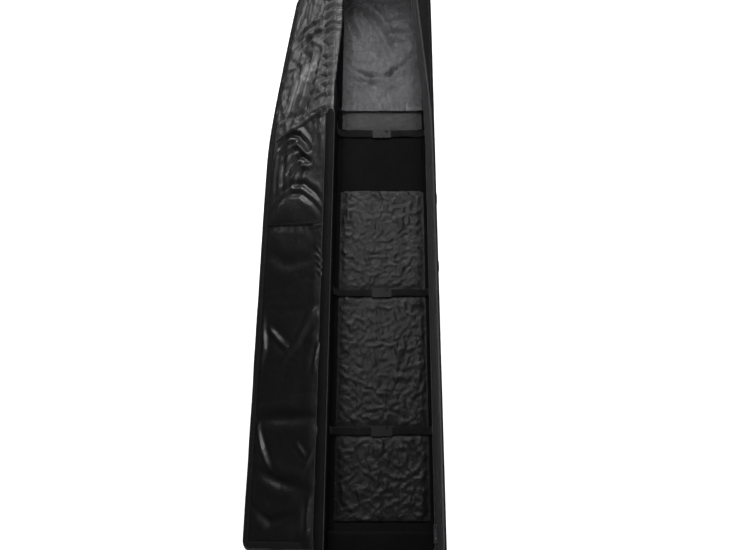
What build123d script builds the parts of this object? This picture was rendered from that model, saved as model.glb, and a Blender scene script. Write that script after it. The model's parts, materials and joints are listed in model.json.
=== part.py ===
"""Soft roller bag for skis, lying on its back with its long lid turned out flat to one side.

Frame: origin on the floor under the middle of the tub, +Z up, +Y towards the soft roll-down end,
-Y towards the wheels, +X towards the zipped side. The lid hinges on the -X rim.
"""

import os
from math import asin, atan2, cos, degrees, hypot, radians

from build123d import *

os.makedirs("parts", exist_ok=True)

# Driving dimensions, millimetres
LENGTH = 2140.0
HALF = LENGTH / 2
WIDTH = 350.0
TUB_BOTTOM = 12.0  # underside of the back panel, which the runners hold off the floor
RIM = 210.0  # top of the rim flange
FLOOR_RADIUS = 38.0  # rounding between the back panel and the side walls
PLAN_RADIUS = 34.0  # rounding of the four upright corners

SHELL = 2.5  # outer fabric with its coating
RIB_GAP = 2.7  # layer that holds the ribs
FOAM = 5.0
BOARD = 2.5
LINING = 1.5
GAP = 0.3  # clearance between sewn layers

PAD_END = 500.0  # the foam, board and ribs stop here, and the roll-down section starts
LID_PAD_END = 0.0
FLANGE = 2.7  # thickness of the folded rim band

OPEN_LEFT = 12.0 - WIDTH / 2
OPEN_RIGHT = WIDTH / 2 - 20.0
OPEN_END = HALF - 28.0
TAPER_START = 350.0  # the mouth narrows from here to the roll-down end
TAPER = 58.0
OPEN_RADIUS = 30.0
GUSSET_START = 470.0  # the gathered wedge on the hinge side
GUSSET = 42.0

HINGE_X = -WIDTH / 2
HINGE_Z = RIM + 2.0
LID_START = 16.0  # free fabric between the hinge line and the lid panel
LID_END = OPEN_END - 13.0
LID_EDGE = 12.0
LID_CROWN = 26.0
LID_CLEAR = 0.3  # the lid's outer edge above the floor when it is open

WHEEL_RADIUS = 38.0
WHEEL_WIDTH = 26.0
WHEEL_X = 128.0
WHEEL_Y = 28.0 - HALF
WHEEL_Z = WHEEL_RADIUS + 1.5
AXLE_RADIUS = 4.0

HOUSING_X = WIDTH / 2 - 14.0
HOUSING_END = 92.0 - HALF
HOUSING_TOP = 88.0
HOUSING_BOTTOM = 2.0

STRAP_Y = (-680.0, -220.0, 395.0)
WEB = 25.0  # width of the inside webbing


def block(low, high):
    """A box between two corners."""
    size = [b - a for a, b in zip(low, high)]
    middle = [(a + b) / 2 for a, b in zip(low, high)]
    return Pos(*middle) * Box(*size)


def save(shape, name):
    export_step(shape, f"parts/{name}.step")


def group(solids):
    """Separate solids kept together in one node."""
    return Compound(children=list(solids))


# ---------------------------------------------------------------- tub layers


def tub(wall, floor=None, top=RIM):
    """The tub's full volume, taken in by wall at the sides and ends and by floor at the back panel."""
    floor = wall if floor is None else floor
    half_width = WIDTH / 2 - wall
    low = TUB_BOTTOM + floor
    corner = max(FLOOR_RADIUS - wall, 6.0)
    height = top + 60.0 - low  # the upper rounding falls above the cut
    section = Pos(0, (low + top + 60.0) / 2) * RectangleRounded(2 * half_width, height, corner)
    sweep = extrude(Plane.XZ * section, amount=HALF, both=True)
    plan = RectangleRounded(2 * half_width, LENGTH - 2 * wall, PLAN_RADIUS - wall)
    cut = Pos(0, 0, low - 1) * extrude(plan, amount=top - low + 1)
    return sweep & cut


def layer(wall, thickness, floor=None, floor_thickness=None, top=RIM):
    """One sewn layer of the tub, open at the top."""
    floor = wall if floor is None else floor
    inner_floor = floor + (thickness if floor_thickness is None else floor_thickness)
    inner = tub(wall + thickness, inner_floor, top + 1)
    return tub(wall, floor, top) - inner


def stretch(start, end):
    """A slab across the whole bag, from start to end along Y."""
    return block((-WIDTH, start, -50), (WIDTH, end, 400))


def housing_block(grow=0.0):
    low = (-HOUSING_X - grow, -HALF - 20, -20)
    high = (HOUSING_X + grow, HOUSING_END + grow, HOUSING_TOP + grow)
    return block(low, high)


WALL_TOP = RIM - FLANGE - GAP
RIB_IN = SHELL + 0.2
RIB_THICK = RIB_GAP - 0.4
FOAM_IN = SHELL + RIB_GAP + 0.1
LINE_IN = FOAM_IN + FOAM + GAP
BOARD_LOW = TUB_BOTTOM + FOAM_IN + FOAM + GAP
LINE_FLOOR = FOAM_IN + FOAM + GAP + BOARD + GAP
ROLL_IN = SHELL + GAP
INNER_FLOOR = TUB_BOTTOM + LINE_FLOOR + LINING  # top of the lining on the padded floor

padded = stretch(-HALF - 1, PAD_END)


def outer_shell():
    return layer(0, SHELL, top=WALL_TOP) - housing_block(GAP)


def stiffener_ribs():
    """U-shaped ribs that wrap the back panel and both walls."""
    sheet = layer(RIB_IN, RIB_THICK, top=WALL_TOP - 14)
    ribs = []
    for n in range(6):
        y = -860.0 + n * 262.0
        ribs += (sheet & stretch(y - 9, y + 9)).solids()
    return group(ribs)


def wall_foam():
    return (layer(FOAM_IN, FOAM, top=WALL_TOP) & padded) - housing_block(2.4)


def floor_board():
    half = WIDTH / 2 - FLOOR_RADIUS - 4
    return block((-half, HOUSING_END + 12, BOARD_LOW), (half, PAD_END - 20, BOARD_LOW + BOARD))


def lining_main():
    sheet = layer(LINE_IN, LINING, LINE_FLOOR, LINING, top=WALL_TOP) & padded
    return sheet - housing_block(5.0)


def wheel_box_liner():
    """Lined step that covers the wheel housing inside the tub."""
    inside = tub(LINE_IN + LINING + GAP, LINE_FLOOR + LINING + GAP, WALL_TOP)
    step = inside & block((-WIDTH, -HALF, 0), (WIDTH, HOUSING_END + 4.6, HOUSING_TOP + 4.6))
    return step - housing_block(2.4)


def lining_roll_section():
    sheet = layer(ROLL_IN, LINING, top=WALL_TOP)
    return sheet & stretch(PAD_END + 3, HALF)


def pad_end_binding():
    """Bound end of the padded layers, where the roll-down section starts."""
    rim = tub(FOAM_IN, FOAM_IN, WALL_TOP) - tub(LINE_IN + LINING, LINE_FLOOR + LINING, WALL_TOP + 1)
    return rim & stretch(PAD_END + GAP, PAD_END + 2.6)


# ---------------------------------------------------------------- rim and zipper


def right_edge(y):
    """X of the mouth's zipped edge at y."""
    return OPEN_RIGHT - TAPER * max(0.0, y - TAPER_START) / (OPEN_END - TAPER_START)


def mouth(grow=0.0):
    """The mouth's outline, grown outwards by grow."""
    corners = [
        (OPEN_LEFT, -OPEN_END),
        (OPEN_RIGHT, -OPEN_END),
        (OPEN_RIGHT, TAPER_START),
        (right_edge(OPEN_END), OPEN_END),
        (OPEN_LEFT, OPEN_END),
    ]
    outline = make_face(Polyline(*corners, close=True))
    sharp = [v for v in outline.vertices() if abs(v.Y - TAPER_START) > 1]
    outline = fillet(sharp, OPEN_RADIUS)
    return offset(outline, amount=grow) if grow else outline


def mouth_band(inner, outer, low, high):
    """A band along the zipped three sides of the mouth, between two growths of its outline."""
    ring = mouth(outer) - mouth(inner)
    band = Pos(0, 0, low) * extrude(ring, amount=high - low)
    return band - block((-WIDTH, -HALF - 9, low - 1), (OPEN_LEFT + 18, HALF + 9, high + 1))


def rim_flange():
    plate = RectangleRounded(WIDTH, LENGTH, PLAN_RADIUS) - mouth()
    return Pos(0, 0, RIM - FLANGE) * extrude(plate, amount=FLANGE)


def gathered_gusset():
    """Elastic-gathered wedge that draws in the hinge side of the roll-down mouth."""
    left = OPEN_LEFT + GAP
    end = OPEN_END - OPEN_RADIUS
    outline = make_face(Polyline((left, GUSSET_START), (left, end), (left + GUSSET, end), close=True))
    return Pos(0, 0, RIM - FLANGE) * extrude(outline, amount=FLANGE)


def base_zipper_tape():
    return mouth_band(-5.5, 12.0, RIM, RIM + 1.0)


def base_zipper_teeth():
    return mouth_band(-10.0, -5.6, RIM - 1.2, RIM + 1.8)


# ---------------------------------------------------------------- lid

LID_REACH = right_edge(0) - 13.0 - HINGE_X
# the open lid leans until its outer edge is LID_CLEAR above the floor
_drop = HINGE_Z - LID_CLEAR
LID_LEAN = degrees(
    asin(_drop / hypot(LID_REACH, LID_EDGE)) - atan2(LID_EDGE, LID_REACH)
)
HINGE = Axis((HINGE_X, 0, HINGE_Z), (0, 1, 0))


def opened(shape):
    """A piece made in the closed place, turned to where the open lid lies."""
    return shape.rotate(HINGE, -(180.0 + LID_LEAN))


def lid_section(y, inset, drop=0.0):
    """The crowned section of the closed lid at y, taken in by inset, reaching drop below its edge."""
    left = HINGE_X + LID_START + inset
    right = right_edge(y) - 13.0 - inset
    low = HINGE_Z - drop
    edge = HINGE_Z + LID_EDGE - inset
    crown = HINGE_Z + LID_CROWN - inset
    a, b, c, d = (left, low), (left, edge), (right, edge), (right, low)
    arc = ThreePointArc(b, ((left + right) / 2, crown), c)
    face = make_face([Line(a, b), arc, Line(c, d), Line(d, a)])
    # the sketch's own Y is the row's Z, and its normal points along -Y
    return Plane((0, y, 0), x_dir=(1, 0, 0), z_dir=(0, -1, 0)) * face


def lid_volume(inset, start, end, drop=0.0):
    stations = [start] + [y for y in (TAPER_START,) if start < y < end] + [end]
    return loft([lid_section(y, inset, drop) for y in stations], ruled=True)


def lid_layer(inset, thickness, start, end, closed_start=True, closed_end=True):
    """One sewn layer of the lid, with end walls where it is closed."""
    inner_start = start + thickness if closed_start else start - 1
    inner_end = end - thickness if closed_end else end + 1
    outside = lid_volume(inset, start, end)
    inside = lid_volume(inset + thickness, inner_start, inner_end, drop=2.0)
    return outside - inside


def lid_parts():
    foam_in = SHELL + GAP
    line_in = foam_in + FOAM + GAP
    roll_in = SHELL + GAP
    low, high = -LID_END, LID_END
    yield "lid_outer_panel", lid_layer(0, SHELL, low, high)
    yield "lid_foam", lid_layer(foam_in, FOAM, low + foam_in, LID_PAD_END, closed_end=False)
    yield "lid_lining", lid_layer(line_in, LINING, low + line_in, LID_PAD_END, closed_end=False)
    yield (
        "lid_roll_lining",
        lid_layer(roll_in, LINING, LID_PAD_END + GAP, high - roll_in, closed_start=False),
    )
    yield "lid_zipper_teeth", mouth_band(-17.0, -13.2, RIM - 1.2, RIM + 1.8)


# ---------------------------------------------------------------- sliders

SLIDER_LENGTH = 24.0
SLIDER_LINE = -7.8  # centre of the teeth, from the mouth's edge
PULL_PIVOT = RIM + 6.8


def slider():
    """Slider body that wraps the teeth, made at the origin with its travel along Y."""
    half = SLIDER_LENGTH / 2
    low_plate = block((-4.9, -half, RIM - 4.2), (4.9, half, RIM - 1.7))
    high_plate = block((-4.9, -half, RIM + 2.3), (4.9, half, RIM + 4.3))
    wall = block((-4.9, -half, RIM - 4.2), (-3.0, half, RIM + 4.3))
    low_lip = block((2.6, -half, RIM - 1.7), (4.9, half, RIM - 0.6))
    high_lip = block((2.6, -half, RIM + 1.6), (4.9, half, RIM + 2.3))
    body = low_plate + high_plate + wall + low_lip + high_lip
    ears = [block((x - 0.9, -4, RIM + 4.3), (x + 0.9, 4, RIM + 8.6)) for x in (-3.2, 3.2)]
    pin = Pos(0, 0, PULL_PIVOT) * Rot(0, 90, 0) * Cylinder(0.9, 8.2)
    for piece in (*ears, pin):
        body += piece
    return body


def pull():
    """Pull tab with its eye round the slider's pin, lying along +Y."""
    eye = Pos(0, 0, PULL_PIVOT) * Rot(0, 90, 0) * Cylinder(2.2, 3.6)
    low, high = PULL_PIVOT - 1.1, PULL_PIVOT + 1.1
    stem = block((-1.8, 0, low), (1.8, 9, high))
    tab = Pos(0, 23, low) * extrude(RectangleRounded(9.2, 30, 3.4), amount=high - low)
    slot = Pos(0, 31, low - 1) * extrude(SlotOverall(9, 3.6, rotation=90), amount=5)
    bore = Pos(0, 0, PULL_PIVOT) * Rot(0, 90, 0) * Cylinder(0.98, 9)
    return eye + stem + tab - slot - bore


TAPER_ANGLE = degrees(atan2(TAPER, OPEN_END - TAPER_START))
SLIDER_A = (OPEN_RIGHT + SLIDER_LINE, 47.0 - OPEN_END)
SLIDER_B_Y = OPEN_END - 37.0
SLIDER_B = (right_edge(SLIDER_B_Y) + SLIDER_LINE / cos(radians(TAPER_ANGLE)), SLIDER_B_Y)


def at_slider_a(shape):
    return Pos(*SLIDER_A, 0) * shape


def at_slider_b(shape):
    return Pos(*SLIDER_B, 0) * Rot(0, 0, TAPER_ANGLE) * shape


# ---------------------------------------------------------------- wheels


def wheel_wells():
    radius = WHEEL_RADIUS + 4
    half = WHEEL_WIDTH / 2 + 4
    wells = None
    for side in (-1, 1):
        x = side * WHEEL_X
        hollow = Pos(x, WHEEL_Y, WHEEL_Z) * Rot(0, 90, 0) * Cylinder(radius, 2 * half)
        hollow += block((x - half, -HALF - 30, -20), (x + half, WHEEL_Y, WHEEL_Z + radius))
        hollow += block((x - half, WHEEL_Y, -20), (x + half, WHEEL_Y + radius, WHEEL_Z))
        wells = hollow if wells is None else wells + hollow
    return wells


def wheel_housing():
    """Moulded end box with two wheel wells, open on its inner side."""
    low = (-HOUSING_X, -HALF, HOUSING_BOTTOM)
    high = (HOUSING_X, HOUSING_END, HOUSING_TOP)
    shell = block(low, high)
    outer_edges = shell.edges().filter_by(Axis.Z).group_by(Axis.Y)[0]
    bottom_edges = shell.edges().filter_by(Axis.X).group_by(Axis.Z)[0]
    shell = fillet(outer_edges + bottom_edges, 9)
    wall = 3.0
    between = WHEEL_X - WHEEL_WIDTH / 2 - 4 - wall
    hollow_high = (between, HOUSING_END - wall, HOUSING_TOP + 1)
    hollow = block((-between, -HALF + wall, HOUSING_BOTTOM + wall), hollow_high)
    shell -= hollow
    shell -= wheel_wells()
    for side in (-1, 1):
        bore = Pos(side * WHEEL_X, WHEEL_Y, WHEEL_Z) * Rot(0, 90, 0)
        shell -= bore * Cylinder(AXLE_RADIUS + 0.1, 60)
    for n in range(5):  # grip ridges moulded under the middle of the box
        x = -64.0 + n * 32
        shell += block((x - 3, -HALF - 2, 16), (x + 3, -HALF + 1, HOUSING_TOP - 14))
    return shell


def axle(side):
    """Axle pin with a flat head on its outer end."""
    pin = Pos(side * WHEEL_X, WHEEL_Y, WHEEL_Z) * Rot(0, 90, 0) * Cylinder(AXLE_RADIUS, 46)
    head_x = side * (WHEEL_X + 25.6)
    head = Pos(head_x, WHEEL_Y, WHEEL_Z) * Rot(0, 90, 0) * Cylinder(AXLE_RADIUS, 5.2)
    return pin + head


def at_wheel(side, shape):
    return Pos(side * WHEEL_X, WHEEL_Y, WHEEL_Z) * Rot(0, 90, 0) * shape


def tyre():
    ring = Cylinder(WHEEL_RADIUS, WHEEL_WIDTH) - Cylinder(29.0, WHEEL_WIDTH + 2)
    ring = chamfer(ring.edges().filter_by(GeomType.CIRCLE).group_by(SortBy.RADIUS)[-1], 3)
    for z in (-5.5, 5.5):
        groove = Cylinder(WHEEL_RADIUS + 1, 2) - Cylinder(WHEEL_RADIUS - 1.6, 3)
        ring -= Pos(0, 0, z) * groove
    return ring


def hub():
    rim = Cylinder(28.9, 22) - Cylinder(24, 24)
    core = Cylinder(15, 22)
    spokes = None
    for n in range(5):
        spoke = Rot(0, 0, 72 * n) * Pos(19, 0, 0) * Box(14, 7, 14)
        spokes = spoke if spokes is None else spokes + spoke
    return rim + spokes + core - Cylinder(11.05, 30)


def bearings():
    ring = Cylinder(11.0, 7) - Cylinder(AXLE_RADIUS + 0.05, 9)
    return group([Pos(0, 0, z) * ring for z in (-7, 7)])


# ---------------------------------------------------------------- runners and screws

RUNNER_X = 104.0
RUNNER_START = HOUSING_END + 14
RUNNER_END = PAD_END - 40.0
RIVET_STEP = 250.0


def runner(x):
    """Skid rail along the back panel at x, sloped at both ends."""
    half = 9.0
    start, end = RUNNER_START, RUNNER_END
    side_view = Polyline(
        (start, TUB_BOTTOM - 0.2),
        (start + 26, 0),
        (end - 26, 0),
        (end, TUB_BOTTOM - 0.2),
        close=True,
    )
    rail = extrude(Plane.YZ * make_face(side_view), amount=half, both=True)
    rail = fillet(rail.edges().filter_by(Axis.Y).group_by(Axis.Z)[0], 2.5)
    for y in rivet_places():
        rail -= Pos(0, y, 3) * Cylinder(4.2, 8)
    return Pos(x, 0, 0) * rail


def rivet_places():
    count = int((RUNNER_END - RUNNER_START - 120) // RIVET_STEP) + 1
    return [RUNNER_START + 80 + n * RIVET_STEP for n in range(count)]


def runner_rivets():
    rivets = []
    for x in (-RUNNER_X, 0, RUNNER_X):
        for y in rivet_places():
            rivets.append(Pos(x, y, 5.5) * Cylinder(4.0, 2.6))
    return group(rivets)


def housing_screws():
    """Screw heads that hold the housing to the end panel."""
    places = [(x, z) for x in (-98, 98) for z in (24, 74)]
    turn = Rot(90, 0, 0)
    return group([Pos(x, -HALF - 1.2, z) * turn * Cylinder(3.6, 2.2) for x, z in places])


# ---------------------------------------------------------------- inside straps

FLOOR_WEB = INNER_FLOOR + 4.2  # centre height of the flat webbing between the buckle halves
SOCKET_HALF = 17.0
WEB_THICK = 1.4
WALL_IN = WIDTH / 2 - LINE_IN - LINING - 0.4  # inner face of the lining's side wall
ANCHOR_TOP = 92.0
WEB_BEND = 20.0


def strap_path(end):
    """Webbing from its anchor on the +X wall, down, round the corner and in to end, in XZ."""
    wall_line = WALL_IN - WEB_THICK
    corner = FLOOR_RADIUS - 8
    down = Line((wall_line, ANCHOR_TOP), (wall_line, FLOOR_WEB + corner))
    bend = RadiusArc(down @ 1, (wall_line - corner, FLOOR_WEB), corner)
    run = Line(bend @ 1, (end, FLOOR_WEB))
    return down + bend + run


def strap_web(end, y):
    """A strap half that hangs from the +X wall and lies across the floor to end."""
    path = Plane.XZ * strap_path(end)
    wall_line = WALL_IN - WEB_THICK
    start = Plane((wall_line, 0, ANCHOR_TOP), x_dir=(0, 1, 0), z_dir=(0, 0, -1))
    web = sweep(start * Rectangle(WEB, WEB_THICK), path=path)
    return Pos(0, y, 0) * web


def socket(y):
    """Female half of the buckle, with side windows and a bar for the webbing."""
    z = FLOOR_WEB
    body = Pos(-SOCKET_HALF, y, z) * Box(2 * SOCKET_HALF, 33, 8)
    body = fillet(body.edges().filter_by(Axis.Z), 3)
    body -= block((-24, y - 13.6, z - 2.6), (1, y + 13.6, z + 2.6))  # throat
    for side in (-1, 1):
        low = y + side * 14.5
        body -= block((-19, min(low, low + side * 4), z - 2.6), (-9, max(low, low + side * 4), z + 2.6))
    web_slot = block((-35, y - WEB / 2 - 0.4, z - 1.1), (-26, y + WEB / 2 + 0.4, z + 1.1))
    return body - web_slot


def tongue(y):
    """Male half: three prongs, and a slot that runs over the end of the webbing as it slides."""
    z = FLOOR_WEB
    prongs = [block((-22, y + a, z - 2.1), (2, y + b, z + 2.1)) for a, b in ((-13, -8.5), (-2, 2), (8.5, 13))]
    body = block((0.5, y - 15.5, z - 3.6), (32, y + 15.5, z + 3.6))
    body = fillet(body.edges().filter_by(Axis.Z), 3)
    for piece in prongs:
        body += piece
    web_slot = block((5.5, y - WEB / 2 - 0.4, z - 1.1), (33, y + WEB / 2 + 0.4, z + 1.1))
    grip_bar = block((12, y - WEB / 2 + 0.6, z + 1.1), (20, y + WEB / 2 - 0.6, z + 4))
    return body - web_slot - grip_bar


# ---------------------------------------------------------------- handles and outside webbing


def hanging_loop(span, drop, web, thick):
    """A webbing loop hanging from a line along X at the origin, in XZ, its back face at Y = 0."""
    outside = Pos(0, -drop / 2) * Rectangle(span, drop)
    outside = fillet(outside.vertices().group_by(Axis.Y)[0], web)
    inside = Pos(0, -(drop - web) / 2 + 1) * Rectangle(span - 2 * web, drop - web + 2)
    inside = fillet(inside.vertices().group_by(Axis.Y)[0], 6)
    return extrude(Plane.XZ * (outside - inside), amount=thick)


def grip_sleeve(length, drop, web, thick):
    """Padded sleeve round the loop's lower run."""
    over = 2.5
    height = web + 2 * over
    depth = thick + 2 * over + 4
    sleeve = Box(length, depth, height)
    sleeve = fillet(sleeve.edges().filter_by(Axis.X), 5)
    sleeve = Pos(0, -depth / 2 + over + 0.2, -(drop - web / 2)) * sleeve
    core = Pos(0, -thick / 2, -(drop - web / 2)) * Box(length + 2, thick + 0.4, web + 0.4)
    return sleeve - core


def patches(span, web, height, thick=2.0):
    """The two sewn patches above a hanging loop, standing off its wall like the loop does."""
    found = []
    for side in (-1, 1):
        x = side * (span / 2 - web / 2)
        found.append(Pos(x, -thick / 2, height / 2 + 2.2) * Box(web + 4, thick, height))
    return found


SIDE_HANDLE = {"span": 270.0, "drop": 62.0, "web": 30.0, "thick": 3.0, "grip": 128.0}
END_HANDLE = {"span": 176.0, "drop": 58.0, "web": 25.0, "thick": 3.0, "grip": 92.0}
STAND_OFF = 3.4  # the loops hang this far off the wall, so that their sleeves clear it
SIDE_AT = Pos(WIDTH / 2 + STAND_OFF, -60, 158) * Rot(0, 0, 90)
WHEEL_END_AT = Pos(0, -HALF - STAND_OFF, 178)
TOP_END_AT = Pos(0, HALF + STAND_OFF, 166) * Rot(0, 0, 180)


def handle_web(size):
    return hanging_loop(size["span"], size["drop"], size["web"], size["thick"])


def handle_grip(size):
    return grip_sleeve(size["grip"], size["drop"], size["web"], size["thick"])


HOOK_X = 132.0
HOOK_SPAN = 24.0


def hook_at(side):
    return Pos(side * HOOK_X, HALF + 1.0, 182) * Rot(0, 0, 180)


def hook_web():
    return Pos(0, -0.9, -34) * Box(HOOK_SPAN, 1.6, 66)


def hook():
    """Flat wire hook that hangs from the end of its webbing."""
    plate = Pos(0, -78) * RectangleRounded(30, 22, 5)
    plate -= Pos(0, -73) * Rectangle(25, 3.4)
    plate -= Pos(2, -82.5) * RectangleRounded(21, 5.4, 2.4)
    plate -= Pos(14, -82.5) * Rectangle(8, 4.4)
    return Pos(0, -0.2, 0) * extrude(Plane.XZ * plate, amount=2.6)


def sewn_patches():
    """Every patch that anchors a handle or a hook strap."""
    found = []
    for place, size in ((SIDE_AT, SIDE_HANDLE), (WHEEL_END_AT, END_HANDLE), (TOP_END_AT, END_HANDLE)):
        backed = patches(size["span"], size["web"], 22.0, STAND_OFF + size["thick"])
        found += [place * Pos(0, STAND_OFF - 0.1, 0) * p for p in backed]
    for side in (-1, 1):
        found.append(hook_at(side) * Pos(0, -0.5, 10) * Box(HOOK_SPAN + 4, 2.6, 16))
    return group(found)


LADDER_START = 280.0
LADDER_STEP = 74.0
LADDER_LOOPS = 10


def daisy_chain(side):
    """Webbing ladder along a side wall, which the hooks reach when the end is rolled down."""
    end = LADDER_START + LADDER_LOOPS * LADDER_STEP
    ladder = block((0.1, LADDER_START, 100), (1.6, end, 122))
    for n in range(LADDER_LOOPS):
        y = LADDER_START + n * LADDER_STEP
        ladder -= block((1.0, y + 9, 99), (2.0, y + LADDER_STEP - 9, 123))
    if side < 0:
        ladder = mirror(ladder, Plane.YZ)
    return Pos(side * WIDTH / 2, 0, 0) * ladder


# ---------------------------------------------------------------- write every node


def main():
    save(outer_shell(), "outer_shell")
    save(stiffener_ribs(), "stiffener_ribs")
    save(wall_foam(), "wall_foam")
    save(floor_board(), "floor_board")
    save(lining_main(), "lining_main")
    save(wheel_box_liner(), "wheel_box_liner")
    save(lining_roll_section(), "lining_roll_section")
    save(pad_end_binding(), "pad_end_binding")
    save(rim_flange(), "rim_flange")
    save(gathered_gusset(), "gathered_gusset")
    save(base_zipper_tape(), "base_zipper_tape")
    save(base_zipper_teeth(), "base_zipper_teeth")
    for name, shape in lid_parts():
        save(opened(shape), name)
    save(at_slider_a(slider()), "slider_wheel_end")
    save(at_slider_a(pull()), "pull_wheel_end")
    save(at_slider_b(slider()), "slider_roll_end")
    save(at_slider_b(Rot(0, 0, 180) * pull()), "pull_roll_end")
    save(wheel_housing(), "wheel_housing")
    save(housing_screws(), "housing_screws")
    for name, side in (("left", -1), ("right", 1)):
        save(axle(side), f"axle_{name}")
        save(at_wheel(side, tyre()), f"tyre_{name}")
        save(at_wheel(side, hub()), f"hub_{name}")
        save(at_wheel(side, bearings()), f"bearings_{name}")
        save(runner(side * RUNNER_X), f"runner_{name}")
        save(daisy_chain(side), f"daisy_chain_{name}")
        save(hook_at(side) * hook_web(), f"hook_web_{name}")
        save(hook_at(side) * hook(), f"hook_{name}")
    save(runner(0), "runner_middle")
    save(runner_rivets(), "runner_rivets")
    for n, y in enumerate(STRAP_Y, 1):
        save(strap_web(29.8, y), f"strap_{n}_right_web")
        save(mirror(strap_web(30.0, y), Plane.YZ), f"strap_{n}_left_web")
        save(socket(y), f"strap_{n}_socket")
        save(tongue(y), f"strap_{n}_tongue")
    for name, place, size in (
        ("side", SIDE_AT, SIDE_HANDLE),
        ("wheel_end", WHEEL_END_AT, END_HANDLE),
        ("roll_end", TOP_END_AT, END_HANDLE),
    ):
        save(place * handle_web(size), f"{name}_handle_web")
        save(place * handle_grip(size), f"{name}_handle_grip")
    save(sewn_patches(), "sewn_patches")
    print("lid lean", round(LID_LEAN, 4), "taper angle", round(TAPER_ANGLE, 4))
    print("slider a", SLIDER_A, "slider b", SLIDER_B, "inner floor", INNER_FLOOR)


main()
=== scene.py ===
"""Looks of the soft ski bag: lid turned out flat to the left, tub open on the right.

Metres, in the CAD's frame. Lid places are given as (across, along, lift): across from the hinge
line down the lid, along +Y, and lift above the lid's base surface on its lining side.
"""

import json
from math import cos, pi, radians, sin

import bmesh
import bpy
import numpy as np
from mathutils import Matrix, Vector


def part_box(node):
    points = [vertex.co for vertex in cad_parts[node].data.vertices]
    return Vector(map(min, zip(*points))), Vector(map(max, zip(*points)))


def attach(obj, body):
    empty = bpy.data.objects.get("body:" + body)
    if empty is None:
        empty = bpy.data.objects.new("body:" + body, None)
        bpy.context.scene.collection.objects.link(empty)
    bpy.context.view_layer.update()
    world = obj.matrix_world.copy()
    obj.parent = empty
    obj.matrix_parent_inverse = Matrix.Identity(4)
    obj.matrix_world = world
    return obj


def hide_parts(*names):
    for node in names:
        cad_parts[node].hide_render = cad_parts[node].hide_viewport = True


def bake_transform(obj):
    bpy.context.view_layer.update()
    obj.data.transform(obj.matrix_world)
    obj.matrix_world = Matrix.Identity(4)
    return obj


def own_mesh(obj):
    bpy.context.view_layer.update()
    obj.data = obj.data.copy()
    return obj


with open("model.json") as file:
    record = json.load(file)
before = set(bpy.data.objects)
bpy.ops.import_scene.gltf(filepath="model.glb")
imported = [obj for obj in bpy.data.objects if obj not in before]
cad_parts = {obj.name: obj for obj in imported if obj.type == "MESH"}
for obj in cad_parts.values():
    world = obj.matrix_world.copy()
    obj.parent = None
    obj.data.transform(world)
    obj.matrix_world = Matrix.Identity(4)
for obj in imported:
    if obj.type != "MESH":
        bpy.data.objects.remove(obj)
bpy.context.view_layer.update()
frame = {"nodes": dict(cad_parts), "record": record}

# ---------------------------------------------------------------- driving dimensions

JOINTS = {joint["name"]: joint for joint in frame["record"]["behaviour"]["joints"]}
HINGE_X, _, HINGE_Z = JOINTS["lid_hinge"]["pos_m"]
LID_ANGLE = radians(JOINTS["lid_hinge"]["range_deg"][1] - 180)

SHELL_LOW, SHELL_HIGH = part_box("outer_shell")
HALF_WIDTH = SHELL_HIGH[0]
HALF_LENGTH = SHELL_HIGH[1]
TUB_BOTTOM = SHELL_LOW[2]
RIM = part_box("rim_flange")[1][2]
FLOOR_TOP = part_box("floor_board")[1][2] + 0.0018
ROLL_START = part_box("pad_end_binding")[0][1]
HOUSING_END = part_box("wheel_box_liner")[1][1]
HOUSING_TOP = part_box("wheel_box_liner")[1][2]

HOUSING_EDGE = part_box("wheel_housing")[1][1] + 0.0003
BASE_SEAM = 0.054

MOUTH_LEFT = -HALF_WIDTH + 0.012
MOUTH_RIGHT = HALF_WIDTH - 0.020
MOUTH_END = HALF_LENGTH - 0.028
MOUTH_RADIUS = 0.030
TAPER_START = 0.35
TAPER = 0.058
GUSSET_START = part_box("gathered_gusset")[0][1]
GUSSET_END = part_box("gathered_gusset")[1][1]
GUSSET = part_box("gathered_gusset")[1][0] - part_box("gathered_gusset")[0][0]

LID_START = 0.016
LID_END = MOUTH_END - 0.013
LID_EDGE = 0.012
LID_CROWN = 0.026
LID_CORNER = 0.030
LID_FLOOR = 0.0015  # the lid's edge above the floor
SEAM_HINGE_Y = -0.045  # the cross seam between the padded and the soft lid, at the hinge
SEAM_EDGE_Y = 0.035  # and at the outer edge


# ---------------------------------------------------------------- noise


def lattice(x, y, seed):
    """Smooth noise from -1 to 1, one cell per unit."""
    table = np.random.default_rng(seed).uniform(-1, 1, (64, 64))
    xi, yi = np.floor(x).astype(int), np.floor(y).astype(int)
    xf, yf = x - xi, y - yi
    sx = xf * xf * xf * (xf * (xf * 6 - 15) + 10)
    sy = yf * yf * yf * (yf * (yf * 6 - 15) + 10)
    a, b = table[yi % 64, xi % 64], table[yi % 64, (xi + 1) % 64]
    c, d = table[(yi + 1) % 64, xi % 64], table[(yi + 1) % 64, (xi + 1) % 64]
    return (a + (b - a) * sx) * (1 - sy) + (c + (d - c) * sx) * sy


def cloud(x, y, seed, octaves=4):
    """Layered noise from about -1 to 1."""
    total = np.zeros(np.broadcast(x, y).shape)
    for n in range(octaves):
        total += lattice(x * 2**n, y * 2**n, seed + n) / 2**n
    return total / 1.6


def creases(x, y, seed, octaves=3):
    """Sharp-crested wrinkles from 0 to 1, high on their crests."""
    total = np.zeros(np.broadcast(x, y).shape)
    for n in range(octaves):
        total += (1 - np.abs(lattice(x * 2**n, y * 2**n, seed + n))) ** 2.2 / 2**n
    return total / 1.75


def step(low, high, x):
    t = np.clip((x - low) / (high - low), 0, 1)
    return t * t * (3 - 2 * t)


# ---------------------------------------------------------------- meshes


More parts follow.
